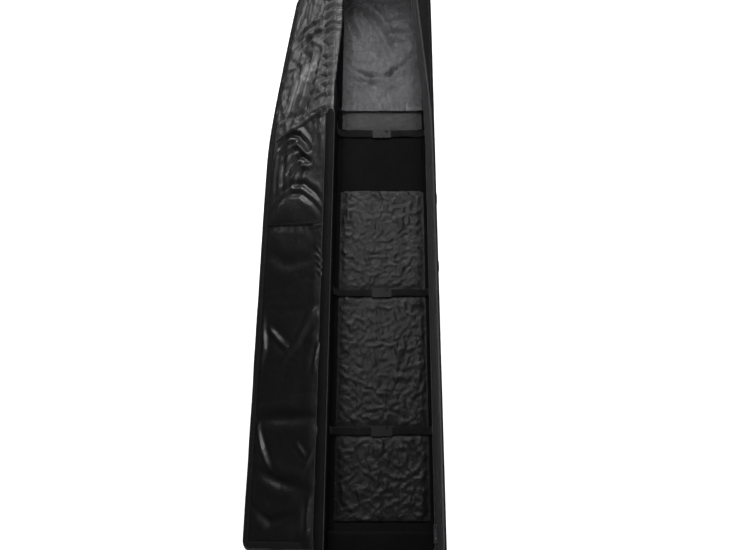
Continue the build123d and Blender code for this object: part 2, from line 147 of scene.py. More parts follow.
def add_object(name, verts, faces, material, uvs=None, smooth=True):
    mesh = bpy.data.meshes.new(name)
    mesh.from_pydata([tuple(v) for v in verts], [], [tuple(f) for f in faces])
    if uvs is not None:
        layer = mesh.uv_layers.new(name="cloth")
        loops = np.zeros(len(mesh.loops), int)
        mesh.loops.foreach_get("vertex_index", loops)
        layer.data.foreach_set("uv", np.asarray(uvs, float)[loops].ravel())
    mesh.shade_smooth() if smooth else None
    obj = bpy.data.objects.new(name, mesh)
    bpy.context.scene.collection.objects.link(obj)
    if material:
        obj.data.materials.append(material)
    return obj


def grid(name, points, material, uv=None, flip=False):
    """A sheet from an array of points, rows by columns."""
    rows, cols = points.shape[:2]
    index = np.arange(rows * cols).reshape(rows, cols)
    quads = np.stack([index[:-1, :-1], index[:-1, 1:], index[1:, 1:], index[1:, :-1]], -1)
    quads = quads.reshape(-1, 4)
    if flip:
        quads = quads[:, ::-1]
    uvs = None if uv is None else uv.reshape(-1, 2)
    return add_object(name, points.reshape(-1, 3), quads, material, uvs)


def modify(obj, kind, **values):
    modifier = obj.modifiers.new(kind.lower(), kind)
    for key, value in values.items():
        setattr(modifier, key, value)
    return modifier


def thicken(obj, thickness, offset=-1.0):
    modify(obj, "SOLIDIFY", thickness=thickness, offset=offset)
    return obj


def settle(obj):
    """Makes the modifiers' result the object's own mesh."""
    bpy.context.view_layer.update()
    depsgraph = bpy.context.evaluated_depsgraph_get()
    mesh = bpy.data.meshes.new_from_object(obj.evaluated_get(depsgraph))
    obj.modifiers.clear()
    obj.data = mesh
    return obj


def along(path):
    """Distance along a 2-D path at each of its points."""
    lengths = np.linalg.norm(np.diff(path, axis=0), axis=1)
    return np.concatenate([[0], np.cumsum(lengths)])


def resample(path, spacing):
    path = np.asarray(path, float)
    total = along(path)
    count = max(2, int(round(total[-1] / spacing)) + 1)
    where = np.linspace(0, total[-1], count)
    return np.stack([np.interp(where, total, path[:, k]) for k in range(path.shape[1])], 1)


def left_normals(path):
    way = np.gradient(path, axis=0)
    way /= np.linalg.norm(way, axis=1)[:, None]
    return np.stack([-way[:, 1], way[:, 0]], 1)


def strip(name, surface, path, profile, material, wobble=None, closed=False):
    """Sweeps a profile of (inset, lift) points along a path on a surface."""
    path = np.asarray(path, float)
    profile = np.asarray(profile, float)
    if closed:
        profile = np.vstack([profile, profile[:1]])
    inward = left_normals(path)
    inset, lift = profile[:, 0], profile[:, 1]
    a = path[:, None, 0] + inward[:, None, 0] * inset
    b = path[:, None, 1] + inward[:, None, 1] * inset
    n = np.broadcast_to(lift, a.shape).copy()
    if wobble is not None:
        n = n + wobble(a, b)
    points = surface(a, b, n)
    run = np.broadcast_to(along(path)[:, None], a.shape)
    across = np.broadcast_to(along(profile)[None, :], a.shape)
    return grid(name, points, material, np.stack([across, run], -1))


def tube_profile(inset, lift, radius, sides=10):
    turns = np.linspace(0, 2 * pi, sides, endpoint=False)
    return np.stack([inset + radius * np.cos(turns), lift + radius * np.sin(turns)], 1)


def small_pieces(name, centres, ways, ups, size, material, taper=0.6):
    """One mesh of many small crowned blocks, such as stitches or zipper teeth."""
    length, width, height = size
    shape = []
    for x, shrink in ((-0.5, taper), (-0.2, 1.0), (0.2, 1.0), (0.5, taper)):
        for turn in range(6):
            angle = turn * pi / 3
            shape.append((x * length, 0.5 * width * shrink * cos(angle), 0.5 * height * shrink * sin(angle)))
    shape = np.array(shape)
    local = []
    for ring in range(3):
        for k in range(6):
            a, b = ring * 6 + k, ring * 6 + (k + 1) % 6
            local.append((a, b, b + 6, a + 6))
    caps = [tuple(range(5, -1, -1)), tuple(range(18, 24))]
    centres, ways, ups = (np.asarray(v, float) for v in (centres, ways, ups))
    ways = ways / np.linalg.norm(ways, axis=1)[:, None]
    sides = np.cross(ups, ways)
    sides /= np.linalg.norm(sides, axis=1)[:, None]
    ups = np.cross(ways, sides)
    verts = (
        centres[:, None]
        + shape[None, :, :1] * ways[:, None]
        + shape[None, :, 1:2] * sides[:, None]
        + shape[None, :, 2:] * ups[:, None]
    )
    faces = []
    for n in range(len(centres)):
        faces += [tuple(i + 24 * n for i in f) for f in local + caps]
    return add_object(name, verts.reshape(-1, 3), faces, material)


def pieces_on(name, surface, path, inset, lift, size, material, spacing, turned=False):
    """Stitches or teeth in a row along a path on a surface."""
    path = resample(path, spacing)
    inward = left_normals(path)
    spots = path + inward * inset
    flat = np.full(len(spots), lift)
    at = surface(spots[:, 0], spots[:, 1], flat)
    above = surface(spots[:, 0], spots[:, 1], flat + 0.001)
    inner = spots + inward * 0.001
    way = surface(inner[:, 0], inner[:, 1], flat) - at if turned else np.gradient(at, axis=0)
    return small_pieces(name, at, way, above - at, size, material)


def merge(name, objects):
    """Joins objects into the first one."""
    bpy.ops.object.select_all(action="DESELECT")
    for obj in objects:
        obj.select_set(True)
    bpy.context.view_layer.objects.active = objects[0]
    bpy.ops.object.join()
    objects[0].name = name
    return objects[0]


# ---------------------------------------------------------------- materials


class Nodes:
    """Short form for building one material's nodes."""

    def __init__(self, name, color, roughness, specular=0.5):
        self.material = bpy.data.materials.new(name)
        self.material.use_nodes = True
        self.tree = self.material.node_tree
        self.shader = self.tree.nodes["Principled BSDF"]
        self.shader.inputs["Base Color"].default_value = (*color, 1)
        self.shader.inputs["Roughness"].default_value = roughness
        self.shader.inputs["Specular IOR Level"].default_value = specular
        self.height = None

    def add(self, kind, **values):
        node = self.tree.nodes.new(kind)
        for key, value in values.items():
            if hasattr(node, key):
                setattr(node, key, value)
            else:
                node.inputs[key.replace("_", " ")].default_value = value
        return node

    def link(self, source, target):
        self.tree.links.new(source, target)

    def place(self, kind="Object"):
        return self.add("ShaderNodeTexCoord").outputs[kind]

    def scaled(self, source, scale, turn=0.0):
        mapping = self.add("ShaderNodeMapping")
        mapping.inputs["Scale"].default_value = scale
        mapping.inputs["Rotation"].default_value = (0, 0, turn)
        self.link(source, mapping.inputs["Vector"])
        return mapping.outputs["Vector"]

    def noise(self, source, scale, detail=4.0, roughness=0.55, distortion=0.0):
        node = self.add("ShaderNodeTexNoise")
        for key, value in (("Scale", scale), ("Detail", detail), ("Roughness", roughness),
                           ("Distortion", distortion)):
            node.inputs[key].default_value = value
        self.link(source, node.inputs["Vector"])
        return node.outputs["Fac"]

    def bands(self, source, scale, direction, profile="SIN"):
        node = self.add("ShaderNodeTexWave", wave_type="BANDS", bands_direction=direction,
                        wave_profile=profile)
        node.inputs["Scale"].default_value = scale
        self.link(source, node.inputs["Vector"])
        return node.outputs["Fac"]

    def math(self, operation, a, b=0.0):
        node = self.add("ShaderNodeMath", operation=operation)
        for socket, value in zip(node.inputs, (a, b)):
            if isinstance(value, (int, float)):
                socket.default_value = value
            else:
                self.link(value, socket)
        return node.outputs[0]

    def ramp(self, source, stops):
        node = self.add("ShaderNodeValToRGB")
        elements = node.color_ramp.elements
        while len(elements) < len(stops):
            elements.new(0.5)
        for element, (position, color) in zip(elements, stops):
            element.position = position
            element.color = (*color, 1) if len(color) == 3 else color
        self.link(source, node.inputs["Fac"])
        return node.outputs["Color"]

    def bump(self, height, strength, distance):
        """Adds a bump on top of the ones before it."""
        node = self.add("ShaderNodeBump")
        node.inputs["Strength"].default_value = strength
        node.inputs["Distance"].default_value = distance
        self.link(height, node.inputs["Height"])
        if self.height is not None:
            self.link(self.height, node.inputs["Normal"])
        self.height = node.outputs["Normal"]
        self.link(self.height, self.shader.inputs["Normal"])


def tone(color, factor):
    return tuple(min(1.0, c * factor) for c in color)


def cloth(name, color, roughness, thread=0.0009, weave=0.25, wrinkle=0.0, wrinkle_scale=26.0, sheen=0.0,
          coat=0.0, coat_roughness=0.3, mottle=0.18, specular=0.5, uv=True):
    """Woven cloth: threads both ways, mottled colour, worn-in gloss and fine creases."""
    m = Nodes(name, color, roughness, specular)
    where = m.place("UV" if uv else "Object")
    body = m.place("Object")
    patches = m.noise(body, 9.0, 5.0, 0.6)
    m.link(m.ramp(patches, [(0.3, tone(color, 1 - mottle)), (0.72, tone(color, 1 + mottle))]),
           m.shader.inputs["Base Color"])
    fine = m.noise(body, 60.0, 3.0, 0.6)
    gloss = m.math("ADD", m.math("MULTIPLY", fine, 0.16), roughness - 0.08)
    m.link(gloss, m.shader.inputs["Roughness"])
    if wrinkle:
        low = m.noise(m.scaled(body, (1.0, 0.55, 1.0)), wrinkle_scale, 5.0, 0.62, 0.6)
        fold = m.math("ABSOLUTE", m.math("SUBTRACT", low, 0.5))
        m.bump(fold, wrinkle, 0.02)
    turns = 1 / thread / 6.2832 * 3.14
    warp = m.bands(where, turns, "X")
    weft = m.bands(where, turns, "Y")
    m.bump(m.math("MAXIMUM", warp, weft), weave, 0.0004)
    m.shader.inputs["Sheen Weight"].default_value = sheen
    m.shader.inputs["Sheen Roughness"].default_value = 0.4
    m.shader.inputs["Coat Weight"].default_value = coat
    m.shader.inputs["Coat Roughness"].default_value = coat_roughness
    return m.material


def webbing_material(name, color, across="Y", uv=False):
    """Flat woven belt: rows of rounded ribs in a fine zigzag."""
    m = Nodes(name, color, 0.62, 0.06)
    where = m.place("UV" if uv else "Object")
    ribs = m.bands(where, 900.0, across)
    slant = m.add("ShaderNodeTexWave", wave_type="BANDS", bands_direction="DIAGONAL", wave_profile="TRI")
    slant.inputs["Scale"].default_value = 420.0
    m.link(where, slant.inputs["Vector"])
    m.bump(ribs, 0.5, 0.0006)
    m.bump(slant.outputs["Fac"], 0.35, 0.0005)
    wear = m.noise(m.place("Object"), 34.0, 4.0, 0.6)
    m.link(m.ramp(wear, [(0.35, tone(color, 0.8)), (0.7, tone(color, 1.5))]), m.shader.inputs["Base Color"])
    m.shader.inputs["Sheen Weight"].default_value = 0.03
    return m.material


def plastic(name, color, roughness=0.45, grain=260.0, depth=0.25, specular=0.3):
    """Moulded plastic with a fine spark-eroded grain and handled, brighter spots."""
    m = Nodes(name, color, roughness, specular)
    where = m.place("Object")
    m.bump(m.noise(where, grain, 3.0, 0.7), depth, 0.0006)
    handled = m.noise(where, 22.0, 5.0, 0.65)
    m.link(m.math("ADD", m.math("MULTIPLY", handled, 0.22), roughness - 0.11), m.shader.inputs["Roughness"])
    m.link(m.ramp(handled, [(0.35, tone(color, 0.85)), (0.7, tone(color, 1.35))]),
           m.shader.inputs["Base Color"])
    return m.material


def metal(name, color, roughness=0.3, metallic=1.0):
    m = Nodes(name, color, roughness, 0.5)
    m.shader.inputs["Metallic"].default_value = metallic
    where = m.place("Object")
    scratches = m.noise(m.scaled(where, (1.0, 14.0, 1.0)), 240.0, 3.0, 0.7)
    m.bump(scratches, 0.12, 0.0004)
    rubbed = m.noise(where, 90.0, 4.0, 0.6)
    m.link(m.math("ADD", m.math("MULTIPLY", rubbed, 0.2), roughness - 0.1), m.shader.inputs["Roughness"])
    m.link(m.ramp(rubbed, [(0.4, tone(color, 0.8)), (0.75, tone(color, 1.25))]),
           m.shader.inputs["Base Color"])
    return m.material


LINING_BLACK = cloth("lid_lining", (0.0020, 0.0020, 0.0022), 0.34, thread=0.0006, weave=0.05, wrinkle=0.08,
                     wrinkle_scale=14, specular=0.4)
# Lighter grey copy of the black lid lining for its loose upper part: the grey is painted sheen, standing in for
# the light this glossy cloth reflects there.
LINING_SOFT_PAINTED_SHEEN = cloth("lid_lining_soft_painted_sheen", (0.0180, 0.0183, 0.0192), 0.40, thread=0.0007, weave=0.10,
                    wrinkle=0.16,
                    wrinkle_scale=24, specular=0.5)
LINING_GLOSS = cloth("lid_lining_gloss", (0.0036, 0.0037, 0.0040), 0.33, thread=0.0006, weave=0.06,
                     wrinkle=0.10,
                     wrinkle_scale=18, specular=0.5)
WALL_BLACK = cloth("wall_lining", (0.0040, 0.0040, 0.0044), 0.65, weave=0.12, wrinkle=0.12, specular=0.02)
# Gathered strip's lining, a lighter grey than the lid's black lining: painted sheen for the light its puckers
# catch.
PUCKERED_PAINTED_SHEEN = cloth("puckered_lining_painted_sheen", (0.0250, 0.0253, 0.0264), 0.42, thread=0.0007, weave=0.10, wrinkle=0.12,
                 wrinkle_scale=24, specular=0.4)
# Darker copy of the grey floor lining for the band at the padding's end: the darkening is painted shade.
FLOOR_BAND_PAINTED_SHADE = cloth("tub_lining_band_painted_shade", (0.0230, 0.0232, 0.0245), 0.45, weave=0.15, wrinkle=0.25,
                   wrinkle_scale=24,
                   mottle=0.3, specular=0.12)
FLOOR_GREY = cloth("tub_lining", (0.088, 0.0885, 0.0930), 0.40, weave=0.20, wrinkle=1.0, wrinkle_scale=60,
                   mottle=0.3, specular=0.5)
# Near-black copy of the grey floor lining for the floor below the black panel: the darkening is painted shade.
FLOOR_DARK_PAINTED_SHADE = cloth("tub_lining_dark_painted_shade", (0.0062, 0.0062, 0.0067), 0.32, weave=0.15, wrinkle=0.35,
                   wrinkle_scale=28,
                   mottle=0.25, specular=0.14)
SHELL_CLOTH = cloth("shell_fabric", (0.0150, 0.0153, 0.0166), 0.50, thread=0.0013, weave=0.5, wrinkle=0.2,
                    wrinkle_scale=14, sheen=0.05, specular=0.35)
SHELL_BASE = cloth("shell_base", (0.0110, 0.0113, 0.0122), 0.40, thread=0.0016, weave=0.35, wrinkle=0.15,
                   wrinkle_scale=12, specular=0.4)
RIM_CLOTH = cloth("rim_cloth", (0.0042, 0.0043, 0.0047), 0.60, thread=0.0012, weave=0.4, wrinkle=0.12,
                  specular=0.03)
BINDING = cloth("binding", (0.009, 0.009, 0.0098), 0.5, thread=0.0012, weave=0.5, specular=0.2)
# Grey binding beside the rim's zipper: grey tape whose lighter tone is partly a painted satin highlight.
BINDING_GREY_PAINTED_SHEEN = cloth("binding_grey_painted_sheen", (0.020, 0.020, 0.0215), 0.55, thread=0.0012, weave=0.5, specular=0.15)
DARK_BINDING = cloth("dark_binding", (0.0030, 0.0030, 0.0034), 0.55, thread=0.0012, weave=0.5, specular=0.06)
TAPE = cloth("zipper_tape", (0.0045, 0.0045, 0.0050), 0.6, thread=0.0008, weave=0.6, uv=False, specular=0.15)
THREAD = cloth("thread", (0.016, 0.016, 0.0175), 0.45, thread=0.0003, weave=0.3, uv=False)
FOAM = cloth("foam", (0.04, 0.04, 0.043), 0.8, thread=0.002, weave=0.2, uv=False)
SLEEVE = cloth("handle_sleeve", (0.018, 0.0184, 0.020), 0.55, thread=0.0011, weave=0.5, specular=0.35)
WEBBING = webbing_material("webbing", (0.0055, 0.0055, 0.0060))
TEETH = plastic("zipper_teeth", (0.016, 0.016, 0.017), 0.32, 500.0, 0.1)
MOULDED = plastic("moulded_plastic", (0.016, 0.016, 0.0175), 0.5, 300.0, 0.4)
RAIL = plastic("runner_plastic", (0.022, 0.022, 0.024), 0.4, 200.0, 0.3)
BUCKLE = plastic("buckle_plastic", (0.0045, 0.0045, 0.0050), 0.48, 400.0, 0.2, 0.12)
TYRE = plastic("tyre", (0.018, 0.018, 0.019), 0.7, 160.0, 0.4)
HUB = plastic("hub_plastic", (0.10, 0.10, 0.108), 0.42, 300.0, 0.25)
BLACK_METAL = metal("slider_metal", (0.035, 0.035, 0.038), 0.32, 0.85)
STEEL = metal("steel", (0.50, 0.51, 0.53), 0.28)


# ---------------------------------------------------------------- cloth simulation


def crumple(width, length, spacing, slack, frames, seed, bending=0.4, upward=0.0):
    """Simulates a slack sheet pinned at its border above a table: its points' moves from flat."""
    cols, rows = int(round(width / spacing)) + 1, int(round(length / spacing)) + 1
    u, v = np.meshgrid(np.linspace(0, width, cols), np.linspace(0, length, rows))
    start = 0.0018 * cloud(u * 34, v * 34, seed, 3) + 0.0022
    flat = np.stack([u, v, np.zeros(u.shape)], -1)
    sheet = grid("sim_sheet", flat + np.stack([0 * u, 0 * u, start], -1), None)
    border = (u < 1e-6) | (u > width - 1e-6) | (v < 1e-6) | (v > length - 1e-6)
    group = sheet.vertex_groups.new(name="pins")
    group.add([int(i) for i in np.flatnonzero(border)], 1.0, "REPLACE")
    table = grid("sim_table", np.array([[(-1.0, -1.0, 0.0), (3.0, -1.0, 0.0)], [(-1.0, 3.0, 0.0), (3.0,
                                                            3.0, 0.0)]]), None)
    modify(table, "COLLISION")
    table.collision.thickness_outer = 0.001
    table.collision.cloth_friction = 8
    fabric = modify(sheet, "CLOTH")
    settings = fabric.settings
    settings.quality = 6
    settings.mass = 0.15
    settings.tension_stiffness = 25
    settings.compression_stiffness = 25
    settings.shear_stiffness = 8
    settings.bending_stiffness = bending
    settings.air_damping = 4
    settings.shrink_min = -slack
    settings.shrink_max = -slack
    settings.vertex_group_mass = "pins"
    fabric.collision_settings.use_collision = True
    fabric.collision_settings.distance_min = 0.001
    fabric.collision_settings.use_self_collision = False
    fabric.point_cache.frame_start, fabric.point_cache.frame_end = 1, frames
    scene = bpy.context.scene
    weight = scene.gravity[2]
    scene.gravity[2] = upward if upward else weight
    for number in range(1, frames + 1):
        scene.frame_set(number)
    evaluated = sheet.evaluated_get(bpy.context.evaluated_depsgraph_get())
    points = np.zeros(len(evaluated.data.vertices) * 3)
    evaluated.data.vertices.foreach_get("co", points)
    moves = points.reshape(rows, cols, 3) - flat
    scene.frame_set(1)
    scene.gravity[2] = weight
    for obj in (sheet, table):
        bpy.data.objects.remove(obj, do_unlink=True)
    moves[..., 2] = np.clip(moves[..., 2], 0, None)
    return u, v, moves


def spread(moves, rows, cols):
    """Resamples a coarse field of moves smoothly to rows by cols."""
    for axis, count in ((0, rows), (1, cols)):
        moves = np.moveaxis(moves, axis, 0)
        last = len(moves) - 1
        where = np.linspace(0, last, count)
        at = np.clip(where.astype(int), 0, last - 1)
        t = (where - at).reshape(-1, *[1] * (moves.ndim - 1))
        a, b, c, d = (moves[np.clip(at + k, 0, last)] for k in (-1, 0, 1, 2))
        moves = b + 0.5 * t * (c - a + t * (2 * a - 5 * b + 4 * c - d + t * (3 * (b - c) + d - a)))
        moves = np.moveaxis(moves, 0, axis)
    return moves


# ---------------------------------------------------------------- the lid's shape


def mouth_right(y):
    """X of the mouth's zipped edge at y, easing into its taper."""
    over = (y - TAPER_START) / 0.05
    ramp = 0.05 * np.logaddexp(0, over)
    return MOUTH_RIGHT - TAPER * ramp / (MOUTH_END - TAPER_START)


def lid_reach(y):
    """Width of the lid from its hinge line to its outer edge."""
    return mouth_right(y) - 0.013 - HINGE_X


def lid_surface(across, y, lift):
    """The draped lid: each section lies at the slope that brings its outer edge to the floor."""
    across, y, lift = np.broadcast_arrays(across, y, lift)
    reach = lid_reach(y)
    lean = np.arcsin((HINGE_Z - LID_FLOOR) / np.hypot(reach, LID_EDGE)) - np.arctan2(LID_EDGE, reach)
    x = HINGE_X - across * np.cos(lean) - lift * np.sin(lean)
    z = HINGE_Z - across * np.sin(lean) + lift * np.cos(lean)
    return np.stack([x, y, z], -1)


def lid_limit(y):
    """Greatest distance across at y, with the two free corners rounded."""
    left = np.clip((LID_END - np.abs(y)) / LID_CORNER, 0, 1)
    return lid_reach(y) - LID_CORNER * (1 - np.sqrt(np.clip(1 - (1 - left) ** 2, 0, 1)))


def lid_path(spacing=0.006):
    """The lid's free edge, from the hinge at the wheel end round to the hinge at the roll end."""
    turn = np.linspace(0, pi / 2, 12)
    low = np.full(12, -LID_END + LID_CORNER) - LID_CORNER * np.cos(turn)
    high = -low[::-1]
    ys = np.concatenate([low, np.linspace(-LID_END + LID_CORNER, LID_END - LID_CORNER, 300)[1:-1], high])
    edge = np.stack([lid_limit(ys), ys], 1)
    start = [[LID_START, -LID_END]]
    end = [[LID_START, LID_END]]
    return resample(np.vstack([start, edge, end]), spacing)


def seam_y(across):
    """Where the cross seam runs."""
    return SEAM_HINGE_Y + (SEAM_EDGE_Y - SEAM_HINGE_Y) * across / lid_reach(0.0)


def fold_line(across, y, points, width, height):
    """A soft crest along a bent line, fading at its ends, with a hollow beside it."""
    best = np.full(across.shape, 9.0)
    share = np.zeros(across.shape)
    points = np.asarray(points, float)
    run = along(points)
    for (a, b), start in zip(zip(points[:-1], points[1:]), run[:-1]):
        way = b - a
        size = np.linalg.norm(way)
        t = np.clip(((across - a[0]) * way[0] + (y - a[1]) * way[1]) / size**2, 0, 1)
        gap = np.hypot(across - a[0] - t * way[0], y - a[1] - t * way[1])
        near = gap < best
        best = np.where(near, gap, best)
        share = np.where(near, (start + t * size) / run[-1], share)
    fade = np.sin(pi * np.clip(share * 0.92 + 0.04, 0, 1)) ** 0.7
    crest = np.exp(-((best / width) ** 2)) - 0.35 * np.exp(-(((best - 2 * width) / (1.2 * width)) ** 2))
    return height * fade * crest


EDGE_BAND = 0.026  # width of the zipper tape and its facing on the lid


def bordered(across, y):
    """0 at the lid's border and its seam, 1 well inside."""
    border = np.minimum.reduce([
        lid_limit(y) - EDGE_BAND - across,
        across - LID_START,
        LID_END - EDGE_BAND - np.abs(y),
    ])
    return step(0, 0.03, border)


OVERLAP_Y = 0.36
OVERLAP_RISE = 0.04


def overlap_y(across):
    """Where the loose lining's hem overlaps the smoother panel below it."""
    return OVERLAP_Y + OVERLAP_RISE * (1 - across / lid_reach(0.0)) ** 2


def folds(a, y, lines):
    total = np.zeros(np.broadcast(a, y).shape)
    for points, width, height in lines:
        total += fold_line(a, y, points, width, height)
    return total


def bowed(start, end, bow):
    """Points of a fold from start to end, bent sideways by a share of its length."""
    start, end = np.array(start), np.array(end)
    share = np.linspace(0, 1, 6)[:, None]
    way = end - start
    return start + way * share + np.array([-way[1], way[0]]) * bow * np.sin(pi * share)


def fan(first, last, count, width, height, bow=0.0, back=-0.8):
    """Folds side by side from the first (start, end) to the last. Every other one has back times the height."""
    lines = []
    for n, share in enumerate(np.linspace(0, 1, count)):
        start, end = (np.add(a, np.subtract(b, a) * share) for a, b in zip(first, last))
        lines.append((bowed(start, end, bow), width, height * (back if n % 2 else 1)))
    return lines


def on_cloth(lines, origin, size):
    """Folds given in shares of a cloth, placed on it in metres."""
    return [(np.array(origin) + points * size, width, height) for points, width, height in lines]


def lower_lift(a, y):
    """The padded half: taut, softly puffed, with a few pressed-in creases."""
    inside = bordered(a, y) * step(0, 0.035, seam_y(a) - y)
    lift = 0.0020 * inside
    roll = np.clip(0.30 + 0.9 * cloud(y * 13 + 0 * a, 0.5 + 0 * a, 17, 3), 0.0, 1.4)
    lift = lift + 0.0065 * roll * step(0, 0.013, a - LID_START) * (1 - step(0.02, 0.075, a - LID_START))
    lift = lift + inside * 0.0030 * cloud(a * 7 + 3, y * 4.2, 11, 2)
    lift = lift + inside * 0.0012 * cloud(a * 16 + y * 5, y * 10 - a * 3, 15, 2)
    strength = 0.6 + 1.1 * step(0.12, 0.30, -y)
    return lift + strength * folds(a, y, LOWER_FOLDS) * step(0, 0.02, seam_y(a) - y)


def upper_lift(a, y):
    """The soft half: a smooth domed panel above the seam, then loose cloth with long slanted folds."""
    inside = bordered(a, y) * step(0, 0.02, y - seam_y(a))
    loose = step(-0.004, 0.010, y - overlap_y(a))
    middle = 1 - loose
    slant = a * 6 + y * 3.0
    crumple_lift = 0.013 * creases(slant + 0.35 * cloud(a * 5, y * 5, 31, 2), y * 1.5 - a * 4, 21, 2) - 0.004
    lift = inside * (0.55 + 0.45 * loose) * crumple_lift
    lift = lift + inside * (0.0006 + 0.0004 * loose) * cloud(a * 24 - y * 6, y * 18 + a * 8, 25, 3)
    dome = np.exp(-(((a - 0.17) / 0.10) ** 2) - (((y - 0.055 - 0.10 * (a - 0.15)) / 0.05) ** 2))
    lift = lift + inside * middle * 0.010 * dome
    hem = 0.0022 * np.exp(-(((y - overlap_y(a) - 0.004) / 0.005) ** 2))
    lift = lift + inside * (loose * 0.0045 + hem)
    return lift + inside * folds(a, y, UPPER_FOLDS)


LOWER_FOLDS = [
    ([(0.040, -0.330), (0.110, -0.420), (0.180, -0.470)], 0.012, 0.0040),
    ([(0.150, -0.440), (0.250, -0.350)], 0.009, 0.0035),
    ([(0.020, -0.440), (0.034, -0.520)], 0.008, 0.0045),
    ([(0.280, -0.300), (0.262, -0.420), (0.285, -0.480)], 0.009, 0.0045),
    ([(0.020, -0.660), (0.150, -0.652), (0.290, -0.640)], 0.018, -0.0060),
    ([(0.275, -0.660), (0.245, -0.740), (0.205, -0.800)], 0.008, 0.0055),
    ([(0.060, -0.860), (0.160, -0.840), (0.270, -0.800)], 0.016, -0.0060),
    ([(0.100, -0.930), (0.200, -0.950), (0.290, -0.900)], 0.014, -0.0050),
    ([(0.036, -0.890), (0.044, -0.985)], 0.008, 0.0050),
    ([(0.060, -0.770), (0.100, -0.730)], 0.007, 0.0028),
    ([(0.030, -0.760), (0.060, -0.800)], 0.007, 0.0028),
]
# shares of the lid: across from the hinge, and along from the cross seam
LID_SIZE = (lid_reach(0.0), LID_END)
LOWER_FOLDS += on_cloth(
    fan(((0.15, -0.11), (0.04, -0.15)), ((0.10, -0.19), (0.04, -0.22)), 4, 0.005, 0.0030, back=1)
    + fan(((0.90, -0.06), (0.15, -0.13)), ((0.90, -0.06), (0.15, -0.13)), 1, 0.020, -0.0050, bow=0.06),
    (0, 0), LID_SIZE)
UPPER_FOLDS = on_cloth(
    # long slanted folds of the loose lining, and two across it nearer the roll end
    fan(((0.18, 0.64), (0.62, 0.41)), ((0.55, 0.62), (0.82, 0.42)), 5, 0.011, -0.0115, bow=-0.20)
    + fan(((0.15, 0.71), (0.58, 0.70)), ((0.15, 0.78), (0.66, 0.75)), 2, 0.013, -0.0090, bow=0.04)
    # pressed creases of the panel between the seam and the loose lining
    + fan(((0.32, 0.25), (0.80, 0.32)), ((0.30, 0.19), (0.56, 0.14)), 4, 0.009, -0.0090, bow=0.12)
    + fan(((0.70, 0.28), (0.72, 0.15)), ((0.84, 0.28), (0.88, 0.13)), 2, 0.010, -0.0075, bow=0.10)
    # rounded top of the puffed part above the seam
    + fan(((0.02, 0.01), (0.93, 0.10)), ((0.04, -0.02), (0.93, 0.06)), 2, 0.010, -0.0050, bow=0.10, back=0.8)
    # gathers by the hinge
    + fan(((0.05, 0.17), (0.04, 0.11)), ((0.05, 0.08), (0.04, 0.02)), 2, 0.007, 0.0050, back=1),
    (0, 0), LID_SIZE)


def lid_grid(y_low, y_high, lift, spacing, low_of=None, high_of=None, moves=None):
    """Rows of points across the lid between two lines, with metres as UV."""
    cols = int(lid_reach(0.0) / spacing) + 1
    rows = int((y_high - y_low) / spacing) + 1
    share = np.linspace(0, 1, cols)[None, :]
    mix = np.linspace(0, 1, rows)[:, None]
    base = y_low + (y_high - y_low) * mix
    a = LID_START + (lid_limit(base) - 0.004 - LID_START) * share
    low = low_of(a) if low_of else np.full(a.shape, y_low)
    high = high_of(a) if high_of else np.full(a.shape, y_high)
    y = low + (high - low) * mix
    uv = np.stack([a, y], -1)
    rise = lift(a, y)
    if moves is not None:
        found = spread(moves, rows, cols)
        a, y, rise = a + found[..., 0], y + found[..., 1], rise + found[..., 2]
    return lid_surface(a, y, rise), uv


def capped(moves, high):
    """Moves of a simulated sheet, scaled down until none rises above high."""
    return moves * min(1.0, high / max(float(moves[..., 2].max()), 1e-6))


def on_lid(obj):
    """Cloth of the lid: it rides on the lid, and lies flat on the rim when the lid is zipped down."""
    settle(obj)
    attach(obj, "lid")
    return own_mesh(obj)


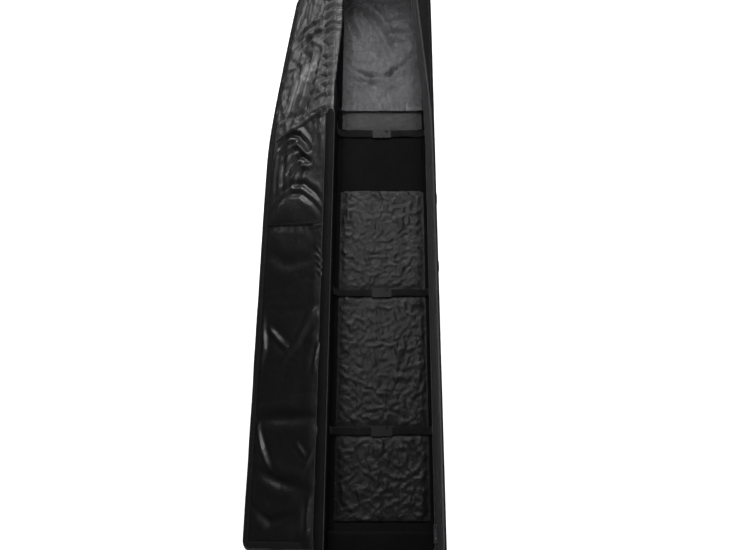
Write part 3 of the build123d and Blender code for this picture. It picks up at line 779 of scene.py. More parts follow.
def make_lid():
    _, _, moves = crumple(0.31, 0.97, 0.010, 0.006, 18, 261, bending=1.5, upward=1.5)
    lower, uv = lid_grid(-LID_END + 0.003, 0, lower_lift, 0.0035, high_of=seam_y, moves=capped(moves, 0.006))
    pad = grid("lid_lining_padded", lower, LINING_BLACK, uv, flip=True)
    thicken(pad, 0.002)
    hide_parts("lid_lining", "lid_foam")
    on_lid(pad)
    _, _, moves = crumple(0.28, 1.03, 0.0140, 0.030, 26, 271, bending=2.5)
    loose = step(0.30, 0.42, np.linspace(0, 1, len(moves)))[:, None, None]
    moves = capped(moves, 0.0048) * (0.15 + 0.85 * loose)
    upper, uv = lid_grid(0, LID_END - 0.003, upper_lift, 0.0032, low_of=seam_y, moves=moves)
    # The loose lining above its hem takes the lighter grey, which is painted sheen; the panel below the hem takes
    # the dark gloss lining.
    soft = grid("lid_lining_loose", upper, LINING_SOFT_PAINTED_SHEEN, uv, flip=True)
    soft.data.materials.append(LINING_GLOSS)
    places = np.zeros(len(soft.data.polygons) * 3)
    soft.data.polygons.foreach_get("center", places)
    x, y, _ = places.reshape(-1, 3).T
    across = (HINGE_X - x) / np.cos(LID_ANGLE)
    soft.data.polygons.foreach_set("material_index", (y < overlap_y(across)).astype(int))
    thicken(soft, 0.0012)
    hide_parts("lid_roll_lining")
    on_lid(soft)

    def under(a, y):
        t = np.clip(a / lid_reach(y), 0, 1)
        inside = step(0, 0.03, np.minimum(lid_limit(y) - a, LID_END - np.abs(y)))
        depth = LID_EDGE + (LID_CROWN - LID_EDGE) * 4 * t * (1 - t) * inside
        hem = np.sqrt(np.clip((a - LID_START) / 0.014, 0, 1))
        return hem * (inside * 0.003 * cloud(a * 9, y * 6, 41, 3) - depth) - 0.0012 * (1 - hem)

    outer, uv = lid_grid(-LID_END, LID_END, under, 0.005)
    panel = grid("lid_outer_cloth", outer, SHELL_CLOTH, uv)
    thicken(panel, 0.002)
    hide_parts("lid_outer_panel")
    on_lid(panel)

    path = lid_path()
    wavy = lambda a, y: 0.0015 * cloud(a * 12, y * 9, 51, 2)
    facing = strip("lid_edge_facing", lid_surface, path,
                   [(EDGE_BAND + 0.004, -0.001), (EDGE_BAND, 0.0015), (0.018, 0.002), (0.008, 0.0015),
                    (0.003, 0.0007), (-0.0008, -0.0004)], TAPE, wavy)
    thicken(facing, 0.0014)
    on_lid(facing)
    side = strip("lid_edge_side", lid_surface, path,
                 [(0.001, -0.0004), (-0.0008, -0.002), (-0.001, -0.006), (-0.001, -0.011), (0.003,
                                                            -0.0128)], TAPE)
    thicken(side, 0.0012)
    on_lid(side)
    piping = strip("lid_edge_piping", lid_surface, path, tube_profile(-0.001, -0.0075, 0.0032), DARK_BINDING,
                   closed=True)
    on_lid(piping)
    inner = strip("lid_inner_piping", lid_surface, path, tube_profile(EDGE_BAND + 0.001, 0.0018, 0.0018, 8),
                  DARK_BINDING, wavy, closed=True)
    on_lid(inner)
    teeth = pieces_on("lid_teeth", lid_surface, path, 0.0035, 0.0022, (0.0052, 0.0019, 0.0022), TEETH, 0.0030,
                      turned=True)
    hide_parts("lid_zipper_teeth")
    on_lid(teeth)
    rows = [pieces_on(f"lid_stitch_{n}", lid_surface, path, inset, 0.0026, (0.0030, 0.0007, 0.0007),
                      THREAD, 0.0045)
            for n, inset in enumerate((0.012, 0.0215))]
    across = np.linspace(LID_START, lid_reach(0.0) - EDGE_BAND, 60)
    seam = np.stack([across, seam_y(across)], 1)
    ridge = strip("lid_cross_seam", lid_surface, seam,
                  [(-0.006, 0.0), (-0.005, 0.0016), (0, 0.0022), (0.005, 0.0016), (0.006, 0.0)], DARK_BINDING)
    thicken(ridge, 0.0008)
    on_lid(ridge)
    rows += [pieces_on(f"lid_seam_stitch_{n}", lid_surface, seam, inset, 0.0022, (0.0030, 0.0007,
                                                            0.0007), THREAD,
                       0.0045) for n, inset in enumerate((-0.0045, 0.0045))]
    stitches = merge("lid_stitching", rows)
    on_lid(stitches)


make_lid()


# ---------------------------------------------------------------- the tub's shape

PLAN_RADIUS = 0.034
FLOOR_RADIUS = 0.038
ARC, SIDE, END = 9, 300, 50  # points in a ring's corners, long sides and ends
RIB_STEP = 0.262
RIB_FIRST = -0.860


def corner_arcs(centres, radius):
    """Four rounded corners, counter-clockwise from the -X, -Y one."""
    turn = np.linspace(0, pi / 2, ARC)
    return [np.stack([cx + radius * np.cos(start + turn), cy + radius * np.sin(start + turn)], 1)
            for (cx, cy), start in zip(centres, (pi, 1.5 * pi, 0, pi / 2))]


def ring_of(arcs):
    """Closed ring through four corner arcs, with the same number of points in every ring."""
    ring = []
    for n, count in enumerate((END, SIDE, END, SIDE)):
        start, stop = arcs[n][-1], arcs[(n + 1) % 4][0]
        ring += [arcs[n], start + (stop - start) * np.linspace(0, 1, count + 2)[1:-1, None]]
    return np.vstack(ring)


def outline(inset=0.0):
    """The bag's outline in plan, taken in by inset."""
    a, b = HALF_WIDTH - inset, HALF_LENGTH - inset
    r = min(max(PLAN_RADIUS - inset, 0.004), a)
    return ring_of(corner_arcs([(-a + r, -b + r), (a - r, -b + r), (a - r, b - r), (-a + r, b - r)], r))


def mouth_left(y):
    """X of the mouth's hinge-side edge, drawn in by the gathered strip."""
    return MOUTH_LEFT + GUSSET * np.clip((y - GUSSET_START) / (GUSSET_END - GUSSET_START), 0, 1)


def mouth_ring():
    """The rim's inner edge, point for point beside the outline."""
    r = MOUTH_RADIUS
    b = MOUTH_END - r
    narrow = mouth_right(MOUTH_END)
    ring = ring_of(corner_arcs([(MOUTH_LEFT + r, -b), (MOUTH_RIGHT - r, -b), (narrow - r, b),
                                (MOUTH_LEFT + r, b)], r))
    side = slice(2 * ARC + END, 2 * ARC + END + SIDE)
    ring[side, 0] = mouth_right(ring[side, 1])
    return ring


def mouth_path(spacing=0.004):
    """The zipped three sides of the mouth, from the hinge side at the wheel end."""
    ring = mouth_ring()
    last = 3 * ARC + END * 2 + SIDE
    path = ring[ARC:last]
    left = MOUTH_LEFT + 0.018
    keep = np.vstack([[[left, -MOUTH_END]], path[path[:, 0] > left], [[left, MOUTH_END]]])
    return resample(keep, spacing)


def ring_normals(ring):
    way = np.roll(ring, -1, 0) - np.roll(ring, 1, 0)
    way /= np.linalg.norm(way, axis=1)[:, None]
    return np.stack([way[:, 1], -way[:, 0]], 1)


def rim_lift(x, y):
    """Soft crown of the rim band, slack where the roll-down section has no padding."""
    outer = np.minimum(HALF_WIDTH - np.abs(x), HALF_LENGTH - np.abs(y))
    inner = np.maximum.reduce([x - mouth_right(y), np.abs(y) - MOUTH_END, MOUTH_LEFT - x])
    share = np.clip(outer / np.maximum(outer + inner, 0.004), 0, 1)
    belly = np.sin(pi * share)
    soft = step(ROLL_START, ROLL_START + 0.15, y)
    wide = np.clip((outer + inner - 0.02) / 0.05, 0, 1)
    loose = 0.0012 * cloud(x * 40, y * 16, 71, 3) + soft * wide * (0.0035 * cloud(x * 22,
                                                            y * 12 - x * 9, 73, 4) - 0.003)
    return belly * (0.0012 + loose)


def rim_surface(x, y, lift):
    """Top of the rim band."""
    x, y, lift = np.broadcast_arrays(x, y, lift)
    return np.stack([x, y, RIM + rim_lift(x, y) + lift], -1)


def wall_bulge(x, y, z):
    """How far the outer cloth stands out from a flat wall: taut over the ribs, sagging between them."""
    belly = np.sin(pi * np.clip((z - TUB_BOTTOM - 0.02) / (RIM - TUB_BOTTOM - 0.02), 0, 1))
    between = 0.5 - 0.5 * np.cos(2 * pi * (y - RIB_FIRST) / RIB_STEP)
    soft = step(ROLL_START - 0.02, ROLL_START + 0.12, y)
    bulge = belly * (0.0015 - 0.0040 * between * (1 - soft))
    bulge = bulge + belly * (0.0014 + 0.0030 * soft) * (cloud(y * 16 + z * 14 + x * 9, z * 16 - y * 4,
                                                            61, 4) - 0.2)
    folds = creases(y * 11 + x * 13 + 2 * cloud(y * 4, z * 9, 63, 2), z * 5, 65, 2)
    bulge = bulge - soft * belly * (0.006 * folds - 0.002)
    deepest = 0.0014 * soft - 0.0020
    return deepest + 0.0006 * np.logaddexp(0, (bulge - deepest) / 0.0006) * step(0, 0.02,
                                                            belly) - deepest * (1 - step(0, 0.02, belly))


OUTLINE = outline()
OUTLINE = np.vstack([OUTLINE, OUTLINE[:1]])
OUTLINE_OUT = ring_normals(OUTLINE[:-1])
OUTLINE_OUT = np.vstack([OUTLINE_OUT, OUTLINE_OUT[:1]])
OUTLINE_RUN = along(OUTLINE)


def wall_surface(run, height, lift):
    """The outside of the walls: run along the outline, height above the floor, lift outwards."""
    run, height, lift = np.broadcast_arrays(run, height, lift)
    where = np.mod(run, OUTLINE_RUN[-1])
    x, y = (np.interp(where, OUTLINE_RUN, OUTLINE[:, k]) for k in (0, 1))
    ox, oy = (np.interp(where, OUTLINE_RUN, OUTLINE_OUT[:, k]) for k in (0, 1))
    low = np.clip((TUB_BOTTOM + FLOOR_RADIUS - height) / FLOOR_RADIUS, 0, 1)
    out = lift + wall_bulge(x, y, height) - FLOOR_RADIUS * (1 - np.sqrt(1 - low**2))
    return np.stack([x + ox * out, y + oy * out, height], -1)


def run_at(x, y):
    """Run along the outline of its nearest point to (x, y)."""
    return float(OUTLINE_RUN[np.argmin(np.hypot(OUTLINE[:, 0] - x, OUTLINE[:, 1] - y))])


def bottom_surface(x, y, lift):
    """Underside of the back panel."""
    x, y, lift = np.broadcast_arrays(x, y, lift)
    return np.stack([x, y, TUB_BOTTOM - lift], -1)


def weld(obj, inside=None):
    """Merges doubled points and, if asked, turns the faces to look towards a point."""
    bm = bmesh.new()
    bm.from_mesh(obj.data)
    bmesh.ops.remove_doubles(bm, verts=bm.verts, dist=2e-5)
    bmesh.ops.dissolve_degenerate(bm, edges=bm.edges, dist=1e-6)
    if inside is not None:
        point, sign = Vector(inside[0]), inside[1]
        total = sum(f.normal.dot(point - f.calc_center_median()) * f.calc_area() for f in bm.faces)
        if total * sign < 0:
            bmesh.ops.reverse_faces(bm, faces=bm.faces)
    bm.to_mesh(obj.data)
    bm.free()
    return obj


def delete_faces(obj, unwanted):
    """Removes the faces whose centre the test picks out."""
    bm = bmesh.new()
    bm.from_mesh(obj.data)
    gone = [f for f in bm.faces if unwanted(f.calc_center_median())]
    bmesh.ops.delete(bm, geom=gone, context="FACES")
    bm.to_mesh(obj.data)
    bm.free()


def loft(name, rings, uvs, material, inside, closed=True):
    points = np.stack(rings)
    uv = np.stack(uvs)
    if closed:
        points = np.concatenate([points, points[:, :1]], 1)
        uv = np.concatenate([uv, uv[:, -1:]], 1)
    return weld(grid(name, points, material, uv), inside)


def cut_block(obj, low, high):
    """Cuts a block out of a closed mesh."""
    size = [b - a for a, b in zip(low, high)]
    bpy.ops.mesh.primitive_cube_add(size=1, location=[(a + b) / 2 for a, b in zip(low, high)])
    cutter = bpy.context.object
    cutter.scale = size
    modify(obj, "BOOLEAN", object=cutter, operation="DIFFERENCE", solver="EXACT")
    settle(obj)
    bpy.data.objects.remove(cutter, do_unlink=True)


def on_tub(obj, slot, *nodes, body="tub"):
    """Finishes a piece: modifiers become mesh, it rides on its body and stands for the CAD nodes."""
    settle(obj)
    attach(obj, body)
    if nodes:
        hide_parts(*nodes)
    return obj


def make_outer_shell():
    """Outer cloth, from the middle of the back panel round the edges and up to the rim."""
    flat = [(inset, TUB_BOTTOM) for inset in np.linspace(HALF_WIDTH, FLOOR_RADIUS, 15)]
    turn = np.linspace(0, pi / 2, 10)[1:]
    bend = [(FLOOR_RADIUS * (1 - sin(t)), TUB_BOTTOM + FLOOR_RADIUS * (1 - cos(t))) for t in turn]
    wall = [(0.0, z) for z in np.linspace(TUB_BOTTOM + FLOOR_RADIUS, RIM - 0.0035, 34)[1:]]
    profile = flat + bend + wall
    rings, uvs = [], []
    rise = along(np.array(profile))
    for n, (inset, height) in enumerate(profile):
        ring = outline(inset)
        outward = ring_normals(outline(min(inset, 0.028)))
        ring = ring + outward * (wall_bulge(ring[:, 0], ring[:, 1], height) * step(0, 0.03,
                                                            height - TUB_BOTTOM))[:, None]
        lift = 0.0012 * cloud(ring[:, 0] * 14, ring[:, 1] * 9, 67, 3) * (1 - step(0, 0.012,
                                                            height - TUB_BOTTOM))
        rings.append(np.column_stack([ring, np.full(len(ring), height) + lift]))
        uvs.append(np.stack([np.full(len(ring), rise[n]), OUTLINE_RUN[:-1]], 1))
    skin = loft("outer_shell_cloth", rings, uvs, SHELL_CLOTH, ((0, 0, 0.1), -1))
    thicken(skin, 0.0022, -1.0)
    settle(skin)
    cut_block(skin, (-0.1615, -1.2, -0.05), (0.1615, HOUSING_EDGE, 0.0884))
    skin.data.materials.append(SHELL_BASE)
    centres = np.zeros(len(skin.data.polygons) * 3)
    skin.data.polygons.foreach_get("center", centres)
    skin.data.polygons.foreach_set("material_index", (centres.reshape(-1, 3)[:, 2] < BASE_SEAM).astype(int))
    skin.data.shade_smooth()
    on_tub(skin, "shell_fabric", "outer_shell")

    seam_start, seam_end = run_at(0.166, -HALF_LENGTH + 0.006), run_at(-0.166, -HALF_LENGTH + 0.006)
    seam_end += OUTLINE_RUN[-1] if seam_end < seam_start else 0
    runs = np.arange(seam_start, seam_end, 0.006)
    seam = np.stack([runs, np.full(len(runs), BASE_SEAM)], 1)
    piping = strip("base_seam_piping", wall_surface, seam, tube_profile(0, 0.0012, 0.0026),
                   DARK_BINDING, closed=True)
    on_tub(piping, "binding")
    around = np.stack([np.linspace(0, OUTLINE_RUN[-1], 800), np.full(800, RIM - 0.0035)], 1)
    rim_piping = strip("rim_piping", wall_surface, around, tube_profile(0, 0.0006, 0.0031),
                       DARK_BINDING, closed=True)
    on_tub(rim_piping, "binding")
    band = strip("wall_top_band", wall_surface, around,
                 [(-0.023, 0.0004), (-0.0225, 0.0014), (-0.012, 0.0016), (-0.003, 0.0014)], SHELL_CLOTH)
    thicken(band, 0.0008)
    on_tub(band, "shell_fabric")
    rows = [pieces_on(f"row_{n}", wall_surface, path, inset, lift, STITCH, THREAD, 0.0046) for n, (path,
                                                            inset, lift) in
            enumerate(((seam, 0.005, 0.0006), (seam, 0.009, 0.0006), (around, -0.0205, 0.0019), (around,
                                                            -0.0065, 0.0019)))]
    a, b = run_at(0.1650, -HALF_LENGTH + 0.006), run_at(-0.1650, -HALF_LENGTH + 0.006)
    a -= OUTLINE_RUN[-1] if a > b else 0
    frame_path = resample([(b, 0.030), (b, 0.0925), (a, 0.0925), (a, 0.030)], 0.005)
    trim = strip("housing_trim", wall_surface, frame_path,
                 [(-0.0045, 0.0004), (-0.0035, 0.0018), (0.0035, 0.0018), (0.0045, 0.0004)], BINDING)
    thicken(trim, 0.0008)
    on_tub(trim, "binding")
    rows.append(pieces_on("row_9", wall_surface, frame_path, 0.0, 0.0022, STITCH, THREAD, 0.0046))
    under = resample([(-0.134, HOUSING_EDGE + 0.005), (0.134, HOUSING_EDGE + 0.005)], 0.01)
    lower_trim = strip("housing_trim_under", bottom_surface, under,
                       [(-0.006, 0.0), (-0.005, 0.0016), (0.005, 0.0016), (0.006, 0.0)], BINDING)
    thicken(lower_trim, 0.0008)
    on_tub(lower_trim, "binding")
    return rows


def make_rim():
    """Rim band with its zipper tape, grey binding line (its grey partly a painted highlight) and stitching."""
    outer, inner = outline(0.0005), mouth_ring()
    rings, uvs = [], []
    for share in np.linspace(0, 1, 13):
        ring = outer + (inner - outer) * share
        rings.append(rim_surface(ring[:, 0], ring[:, 1], -0.0002))
        uvs.append(ring)
    band = loft("rim_band", rings, uvs, RIM_CLOTH, ((0, 0, 5), 1))
    thicken(band, 0.0022, -1.0)
    on_tub(band, "shell_fabric", "rim_flange")

    path = mouth_path()
    wavy = lambda x, y: 0.0006 * cloud(x * 30, y * 22, 81, 2)
    tape = strip("base_zipper_tape_cloth", rim_surface, path,
                 [(-0.0118, 0.0), (-0.0112, 0.0011), (-0.004, 0.0014), (0.002, 0.0012), (0.0068,
                                                            0.0008), (0.0074, 0.0)],
                 TAPE, wavy)
    thicken(tape, 0.0009)
    on_tub(tape, "zipper_tape", "base_zipper_tape")
    teeth = pieces_on("base_teeth", rim_surface, path, 0.0078, 0.0003, (0.0046, 0.0019, 0.0024), TEETH,
                      0.0030,
                      turned=True)
    on_tub(teeth, "zipper_teeth", "base_zipper_teeth")
    # grey binding line, its tone partly a painted satin highlight
    grey = strip("rim_grey_binding", rim_surface, path,
                 [(-0.0172, 0.0), (-0.0168, 0.0012), (-0.0145, 0.0019), (-0.0122, 0.0012), (-0.0118, 0.0)],
                 BINDING_GREY_PAINTED_SHEEN, wavy)
    thicken(grey, 0.0008)
    on_tub(grey, "binding")
    edge = strip("mouth_edge_piping", rim_surface, path, tube_profile(0.0012, -0.0022, 0.0016, 8),
                 DARK_BINDING,
                 closed=True)
    on_tub(edge, "binding")
    rows = [pieces_on(f"rim_row_{n}", rim_surface, path, inset, lift, STITCH, THREAD, 0.0046)
            for n, (inset, lift) in enumerate(((-0.0095, 0.0018), (-0.0025, 0.0018), (-0.0145, 0.0024)))]
    around = outline(0.0055)
    around = resample(np.vstack([around, around[:1]]), 0.0046)
    rows.append(pieces_on("rim_row_9", rim_surface, around, 0.0, 0.0004, STITCH, THREAD, 0.0046))
    return rows


# ---------------------------------------------------------------- inside the tub


def u_ring(inset, toward, y_open):
    """Three sides of the plan, open at y_open, round the end that toward points to."""
    a, b = max(HALF_WIDTH - inset, 0.0), HALF_LENGTH - inset
    r = min(max(PLAN_RADIUS - inset, 0.004), a)
    turn = np.linspace(0, pi / 2, ARC)
    side = np.linspace(y_open * toward, b - r, 260)[:-1]
    right = np.stack([np.full(len(side), a), side], 1)
    arc = np.stack([a - r + r * np.cos(turn), b - r + r * np.sin(turn)], 1)
    across = np.stack([np.linspace(a - r, -(a - r), 42)[1:-1], np.full(40, b)], 1)
    half = np.vstack([right, arc])
    other = half[::-1] * (-1, 1)
    ring = np.vstack([half, across, other])
    return ring * (1, toward)


def inner_lift(x, y, z, soft):
    """Inward puff and wrinkles of the lining's walls."""
    belly = np.sin(pi * np.clip((z - 0.03) / (RIM - 0.03), 0, 1))
    ends = step(0, 0.04, HALF_LENGTH - np.abs(y))
    quiet = 0.0010 + 0.0018 * cloud(y * 9 + x * 7, z * 14, 91, 3)
    loose = 0.0035 * cloud(y * 18 + x * 11, z * 16 - y * 5, 93, 4) + 0.003 * creases(y * 9 + z * 8,
                                                            z * 9, 95, 2)
    return belly * np.where(soft, 0.0012 * np.logaddexp(0, 0.5 + loose * ends / 0.0012), quiet)


def make_inner_wall(name, inset, floor, radius, toward, y_open, soft, material, *nodes):
    """Lining of the walls and the floor beneath the floor sheets."""
    flat = [(i, floor) for i in np.linspace(HALF_WIDTH, inset + radius, 9)]
    turn = np.linspace(0, pi / 2, 8)[1:]
    bend = [(inset + radius * (1 - sin(t)), floor + radius * (1 - cos(t))) for t in turn]
    wall = [(inset, z) for z in np.linspace(floor + radius, RIM - 0.0030, 26)[1:]]
    profile = flat + bend + wall
    rise = along(np.array(profile))
    rings, uvs = [], []
    for n, (i, height) in enumerate(profile):
        ring = u_ring(i, toward, y_open)
        way = np.gradient(u_ring(min(i, 0.028), toward, y_open), axis=0)
        way /= np.maximum(np.linalg.norm(way, axis=1), 1e-9)[:, None]
        inward = np.stack([-way[:, 1], way[:, 0]], 1) * toward
        puff = inner_lift(ring[:, 0], ring[:, 1], height, soft) * step(0, 0.03, height - floor)
        ring = ring + inward * puff[:, None]
        rings.append(np.column_stack([ring, np.full(len(ring), height)]))
        uvs.append(np.stack([np.full(len(ring), rise[n]), along(u_ring(0, toward, y_open))], 1))
    obj = loft(name, rings, uvs, material, ((0, 0.5 * (y_open + toward), 0.5), 1), closed=False)
    if toward < 0:
        delete_faces(obj, lambda c: c.y < HOUSING_EDGE + 0.003 and c.z < HOUSING_TOP - 0.001 and abs(c.x) < 0.1625)
    thicken(obj, 0.0012, -1.0)
    return on_tub(obj, "wall_lining", *nodes)


def make_linings():
    make_inner_wall("inner_wall_padded", 0.0121, FLOOR_TOP - 0.0012, 0.0259, -1, ROLL_START, False,
                    WALL_BLACK,
                    "lining_main")
    make_inner_wall("inner_wall_roll", 0.0043, 0.0163, 0.033, 1, ROLL_START + 0.003, True, WALL_BLACK,
                    "lining_roll_section")
    make_wheel_step()


def make_wheel_step():
    """Lined step over the wheel housing, with a soft front edge."""
    x_end, back, front = 0.1615, -HALF_LENGTH + 0.0135, HOUSING_END
    bend = 0.012
    turn = np.linspace(0, pi / 2, 8)
    section = [(y, HOUSING_TOP) for y in np.linspace(back, front - bend, 12)[:-1]]
    section += [(front - bend + bend * sin(t), HOUSING_TOP - bend + bend * cos(t)) for t in turn]
    section += [(front, z) for z in np.linspace(HOUSING_TOP - bend, FLOOR_TOP, 10)[1:]]
    section += [(front + 0.022, FLOOR_TOP + 0.0006)]
    section = np.array(section)
    xs = np.linspace(-x_end, x_end, 60)
    inside = np.sin(pi * np.linspace(0, 1, 60))[None, :] ** 0.5
    run = along(section)
    x = np.broadcast_to(xs, (len(section), 60))
    y = np.broadcast_to(section[:, :1], x.shape)
    z = np.broadcast_to(section[:, 1:], x.shape)
    puff = inside * 0.0016 * cloud(x * 20, run[:, None] * 20 + x * 0, 97, 3) + 0.0012 * inside
    way = np.gradient(section, axis=0)
    way /= np.linalg.norm(way, axis=1)[:, None]
    end = step(0, 0.02, run[-1] - run)[:, None]
    points = np.stack([x, y - way[:, 1:] * puff * end, z + way[:, :1] * puff * end], -1)
    uv = np.stack([x, np.broadcast_to(run[:, None], x.shape)], -1)
    top = weld(grid("wheel_step_lining", points, WALL_BLACK, uv), ((0, 0.5, 0.5), 1))
    thicken(top, 0.0012, -1.0)
    on_tub(top, "wall_lining", "wheel_box_liner")


# ---------------------------------------------------------------- floor sheets


def sheet_from(name, surface, place, moves, keep, material, flip=False):
    """A simulated sheet laid on a surface; keep scales its wrinkles from place to place."""
    a, b = place
    scaled = moves * keep[..., None]
    points = surface(a + scaled[..., 0], b + scaled[..., 1], scaled[..., 2])
    obj = grid(name, points, material, np.stack([a, b], -1), flip)
    modify(obj, "SUBSURF", levels=1, render_levels=1)
    settle(obj)
    obj.data.shade_smooth()
    return thicken(obj, 0.0009, -1.0)


def near(x, y, cx, cy, wide, long):
    """1 inside a soft-edged rectangle, 0 outside."""
    return (1 - step(wide, wide + 0.02, np.abs(x - cx))) * (1 - step(long, long + 0.02, np.abs(y - cy)))


def strap_shadow(x, y):
    """1 where the inside straps and buckles lie."""
    total = np.zeros(x.shape)
    for n in (1, 2, 3):
        low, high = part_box(f"strap_{n}_socket")
        y_mid = (low[1] + high[1]) / 2
        total = np.maximum(total, 0.75 * near(x, y, 0, y_mid, 0.15, 0.010))
        total = np.maximum(total, near(x, y, 0.0, y_mid, 0.05, 0.014))
    return total


SHADE_PANEL_LOW, SHADE_PANEL_HIGH = 0.160, 0.418  # the plain black panel on the floor: a dark sheet on the grey floor lining, painted shade


def floor_height(x, base, radius):
    """Height of a floor sheet, turning up at its sides."""
    over = np.clip(np.abs(x) - (0.150 - radius * 0.35), 0, radius * 0.9)
    return base + radius - np.sqrt(np.clip(radius**2 - over**2, 0, None))


def make_floor_sheets():
    half, base = 0.150, FLOOR_TOP - 0.0005
    # These two sheets are the grey floor lining painted darker: painted shade.
    for name, y_low, y_high, slack, seed, material in (
        ("floor_lining_dark_painted_shade", -0.950, SHADE_PANEL_LOW + 0.006, 0.055, 201, FLOOR_DARK_PAINTED_SHADE),
        ("floor_lining_grey", SHADE_PANEL_HIGH - 0.006, ROLL_START - 0.004, 0.006, 203, FLOOR_BAND_PAINTED_SHADE),
    ):
        u, v, moves = crumple(2 * half, y_high - y_low, 0.0075, slack, 22, seed)
        x, y = u - half, v + y_low
        keep = (1 - 0.97 * strap_shadow(x, y)) * step(0, 0.03, half - np.abs(x))
        keep = keep * np.clip(0.011 / np.maximum(moves[..., 2].max(), 1e-6), 0, 1)
        surface = lambda a, b, lift: np.stack([a, b, floor_height(a, base, 0.0259) + lift], -1)
        obj = sheet_from(name, surface, (x, y), moves, keep, material)
        on_tub(obj, "tub_lining")

    y_low, y_high = ROLL_START - 0.009, HALF_LENGTH - 0.012
    u, v, moves = crumple(2 * half, y_high - y_low, 0.0070, 0.06, 26, 211)
    x, y = u - half, v + y_low
    keep = np.full(x.shape, min(1.0, 0.009 / max(moves[..., 2].max(), 1e-6)))

    def roll_floor(a, b, lift):
        climb = 1 - step(0, 0.055, b - y_low)
        height = climb * (0.0190 + 0.004 * step(0.120, 0.146, np.abs(a))) + lift + roll_folds(a, b)
        height = 0.002 * np.logaddexp(0, height / 0.002)
        return np.stack([a, b, floor_height(a, 0.0168, 0.033) + height], -1)

    obj = sheet_from("floor_lining_roll", roll_floor, (x, y), moves, keep, FLOOR_GREY)
    on_tub(obj, "tub_lining")
    xs = np.linspace(-half, half, 80)
    hem_line = np.stack([xs, np.full(80, y_low + 0.0015)], 1)
    wavy = lambda a, b: 0.0010 * cloud(a * 30, b * 9, 213, 3)
    hem = strip("floor_roll_hem", roll_floor, hem_line, tube_profile(0, 0, 0.0024, 8), FLOOR_GREY, wavy,
                closed=True)
    on_tub(hem, "tub_lining")

    # A plain black sheet over the grey floor lining: painted shade.
    xs, ys = np.linspace(-0.148, 0.148, 70), np.linspace(SHADE_PANEL_LOW, SHADE_PANEL_HIGH, 90)
    x, y = np.meshgrid(xs, ys)
    edge = step(0, 0.012, np.minimum(half - np.abs(x), np.minimum(y - SHADE_PANEL_LOW, SHADE_PANEL_HIGH - y)))
    lift = 0.0012 + edge * (0.0018 + 0.0014 * cloud(x * 14, y * 12, 221, 3)) * (1 - strap_shadow(x, y))
    points = np.stack([x, y, floor_height(x, base, 0.0259) + lift * (1 - 0.9 * strap_shadow(x, y))], -1)
    panel = weld(grid("floor_panel_painted_shade", points, WALL_BLACK, np.stack([x, y], -1)), ((0, 0, 2), 1))
    thicken(panel, 0.0010, -1.0)
    on_tub(panel, "wall_lining")


def roll_folds(x, y):
    """The broad folds of the roll-down floor."""
    ends = step(0, 0.04, HALF_LENGTH - 0.02 - y) * step(0, 0.035, y - ROLL_START) * step(0, 0.05,
                                                            0.152 - np.abs(x))
    return ends * (0.0120 + 1.5 * folds(x, y, ROLL_FOLDS) + 0.0035 * creases(x * 16 + y * 6, y * 15, 235, 2))


# shares of the roll-down floor: across from its middle, and along from its hem
ROLL_FOLDS = on_cloth(
    # long slanted valley from the roll end, and a valley across the foot of it
    fan(((-0.60, 0.86), (0.30, 0.40)), ((-0.38, 0.84), (0.50, 0.44)), 2, 0.013, -0.0115, bow=0.05, back=-1)
    + fan(((-0.80, 0.32), (0.90, 0.46)), ((-0.70, 0.27), (0.30, 0.34)), 2, 0.010, -0.0105, bow=-0.08)
    # short folds beside them
    + fan(((0.02, 0.68), (0.76, 0.73)), ((0.12, 0.52), (0.78, 0.55)), 4, 0.009, -0.0090, bow=0.03)
    + fan(((0.28, 0.36), (0.26, 0.22)), ((0.46, 0.36), (0.50, 0.22)), 2, 0.008, -0.0085, bow=0.12)
    + fan(((-0.80, 0.78), (-0.32, 0.46)), ((-0.70, 0.40), (-0.40, 0.38)), 2, 0.013, 0.0070, back=1)
    # low swells near the hem and at the roll end
    + fan(((-0.80, 0.12), (-0.20, 0.20)), ((-0.10, 0.10), (0.50, 0.20)), 2, 0.012, 0.0045, bow=0.05, back=1)
    + fan(((-0.55, 0.93), (0.65, 0.93)), ((-0.65, 0.97), (0.72, 0.97)), 2, 0.014, -0.0080, bow=-0.03),
    (0, ROLL_START), (0.15, HALF_LENGTH - ROLL_START))


def make_pad_end():
    """Bound end of the padding, standing above the roll-down floor, with its tape."""
    turn = np.linspace(0, pi / 2, 10)
    radius, inset, floor = 0.0259, 0.0121, FLOOR_TOP
    a = HALF_WIDTH - inset
    line = [(-a, z) for z in np.linspace(RIM - 0.006, floor + radius, 16)]
    line += [(-a + radius * (1 - cos(t)), floor + radius * (1 - sin(t))) for t in turn[1:]]
    half = np.array(line)
    path = np.vstack([half, resample([half[-1], half[-1] * (-1, 1)], 0.01)[1:-1], (half * (-1, 1))[::-1]])

    def end_surface(x, z, lift):
        x, z, lift = np.broadcast_arrays(x, z, lift)
        return np.stack([x, ROLL_START - 0.004 + lift, z], -1)

    profile = [(0.0015, -0.006), (0.0017, 0.001), (0.0012, 0.0060), (-0.003, 0.0066), (-0.0085, 0.0062)]
    tape = strip("pad_end_tape", end_surface, path, profile, BINDING)
    weld(tape, ((0, 0.5, 0.12), 1))
    thicken(tape, 0.0010)
    return on_tub(tape, "binding", "pad_end_binding")


# ---------------------------------------------------------------- hinge side


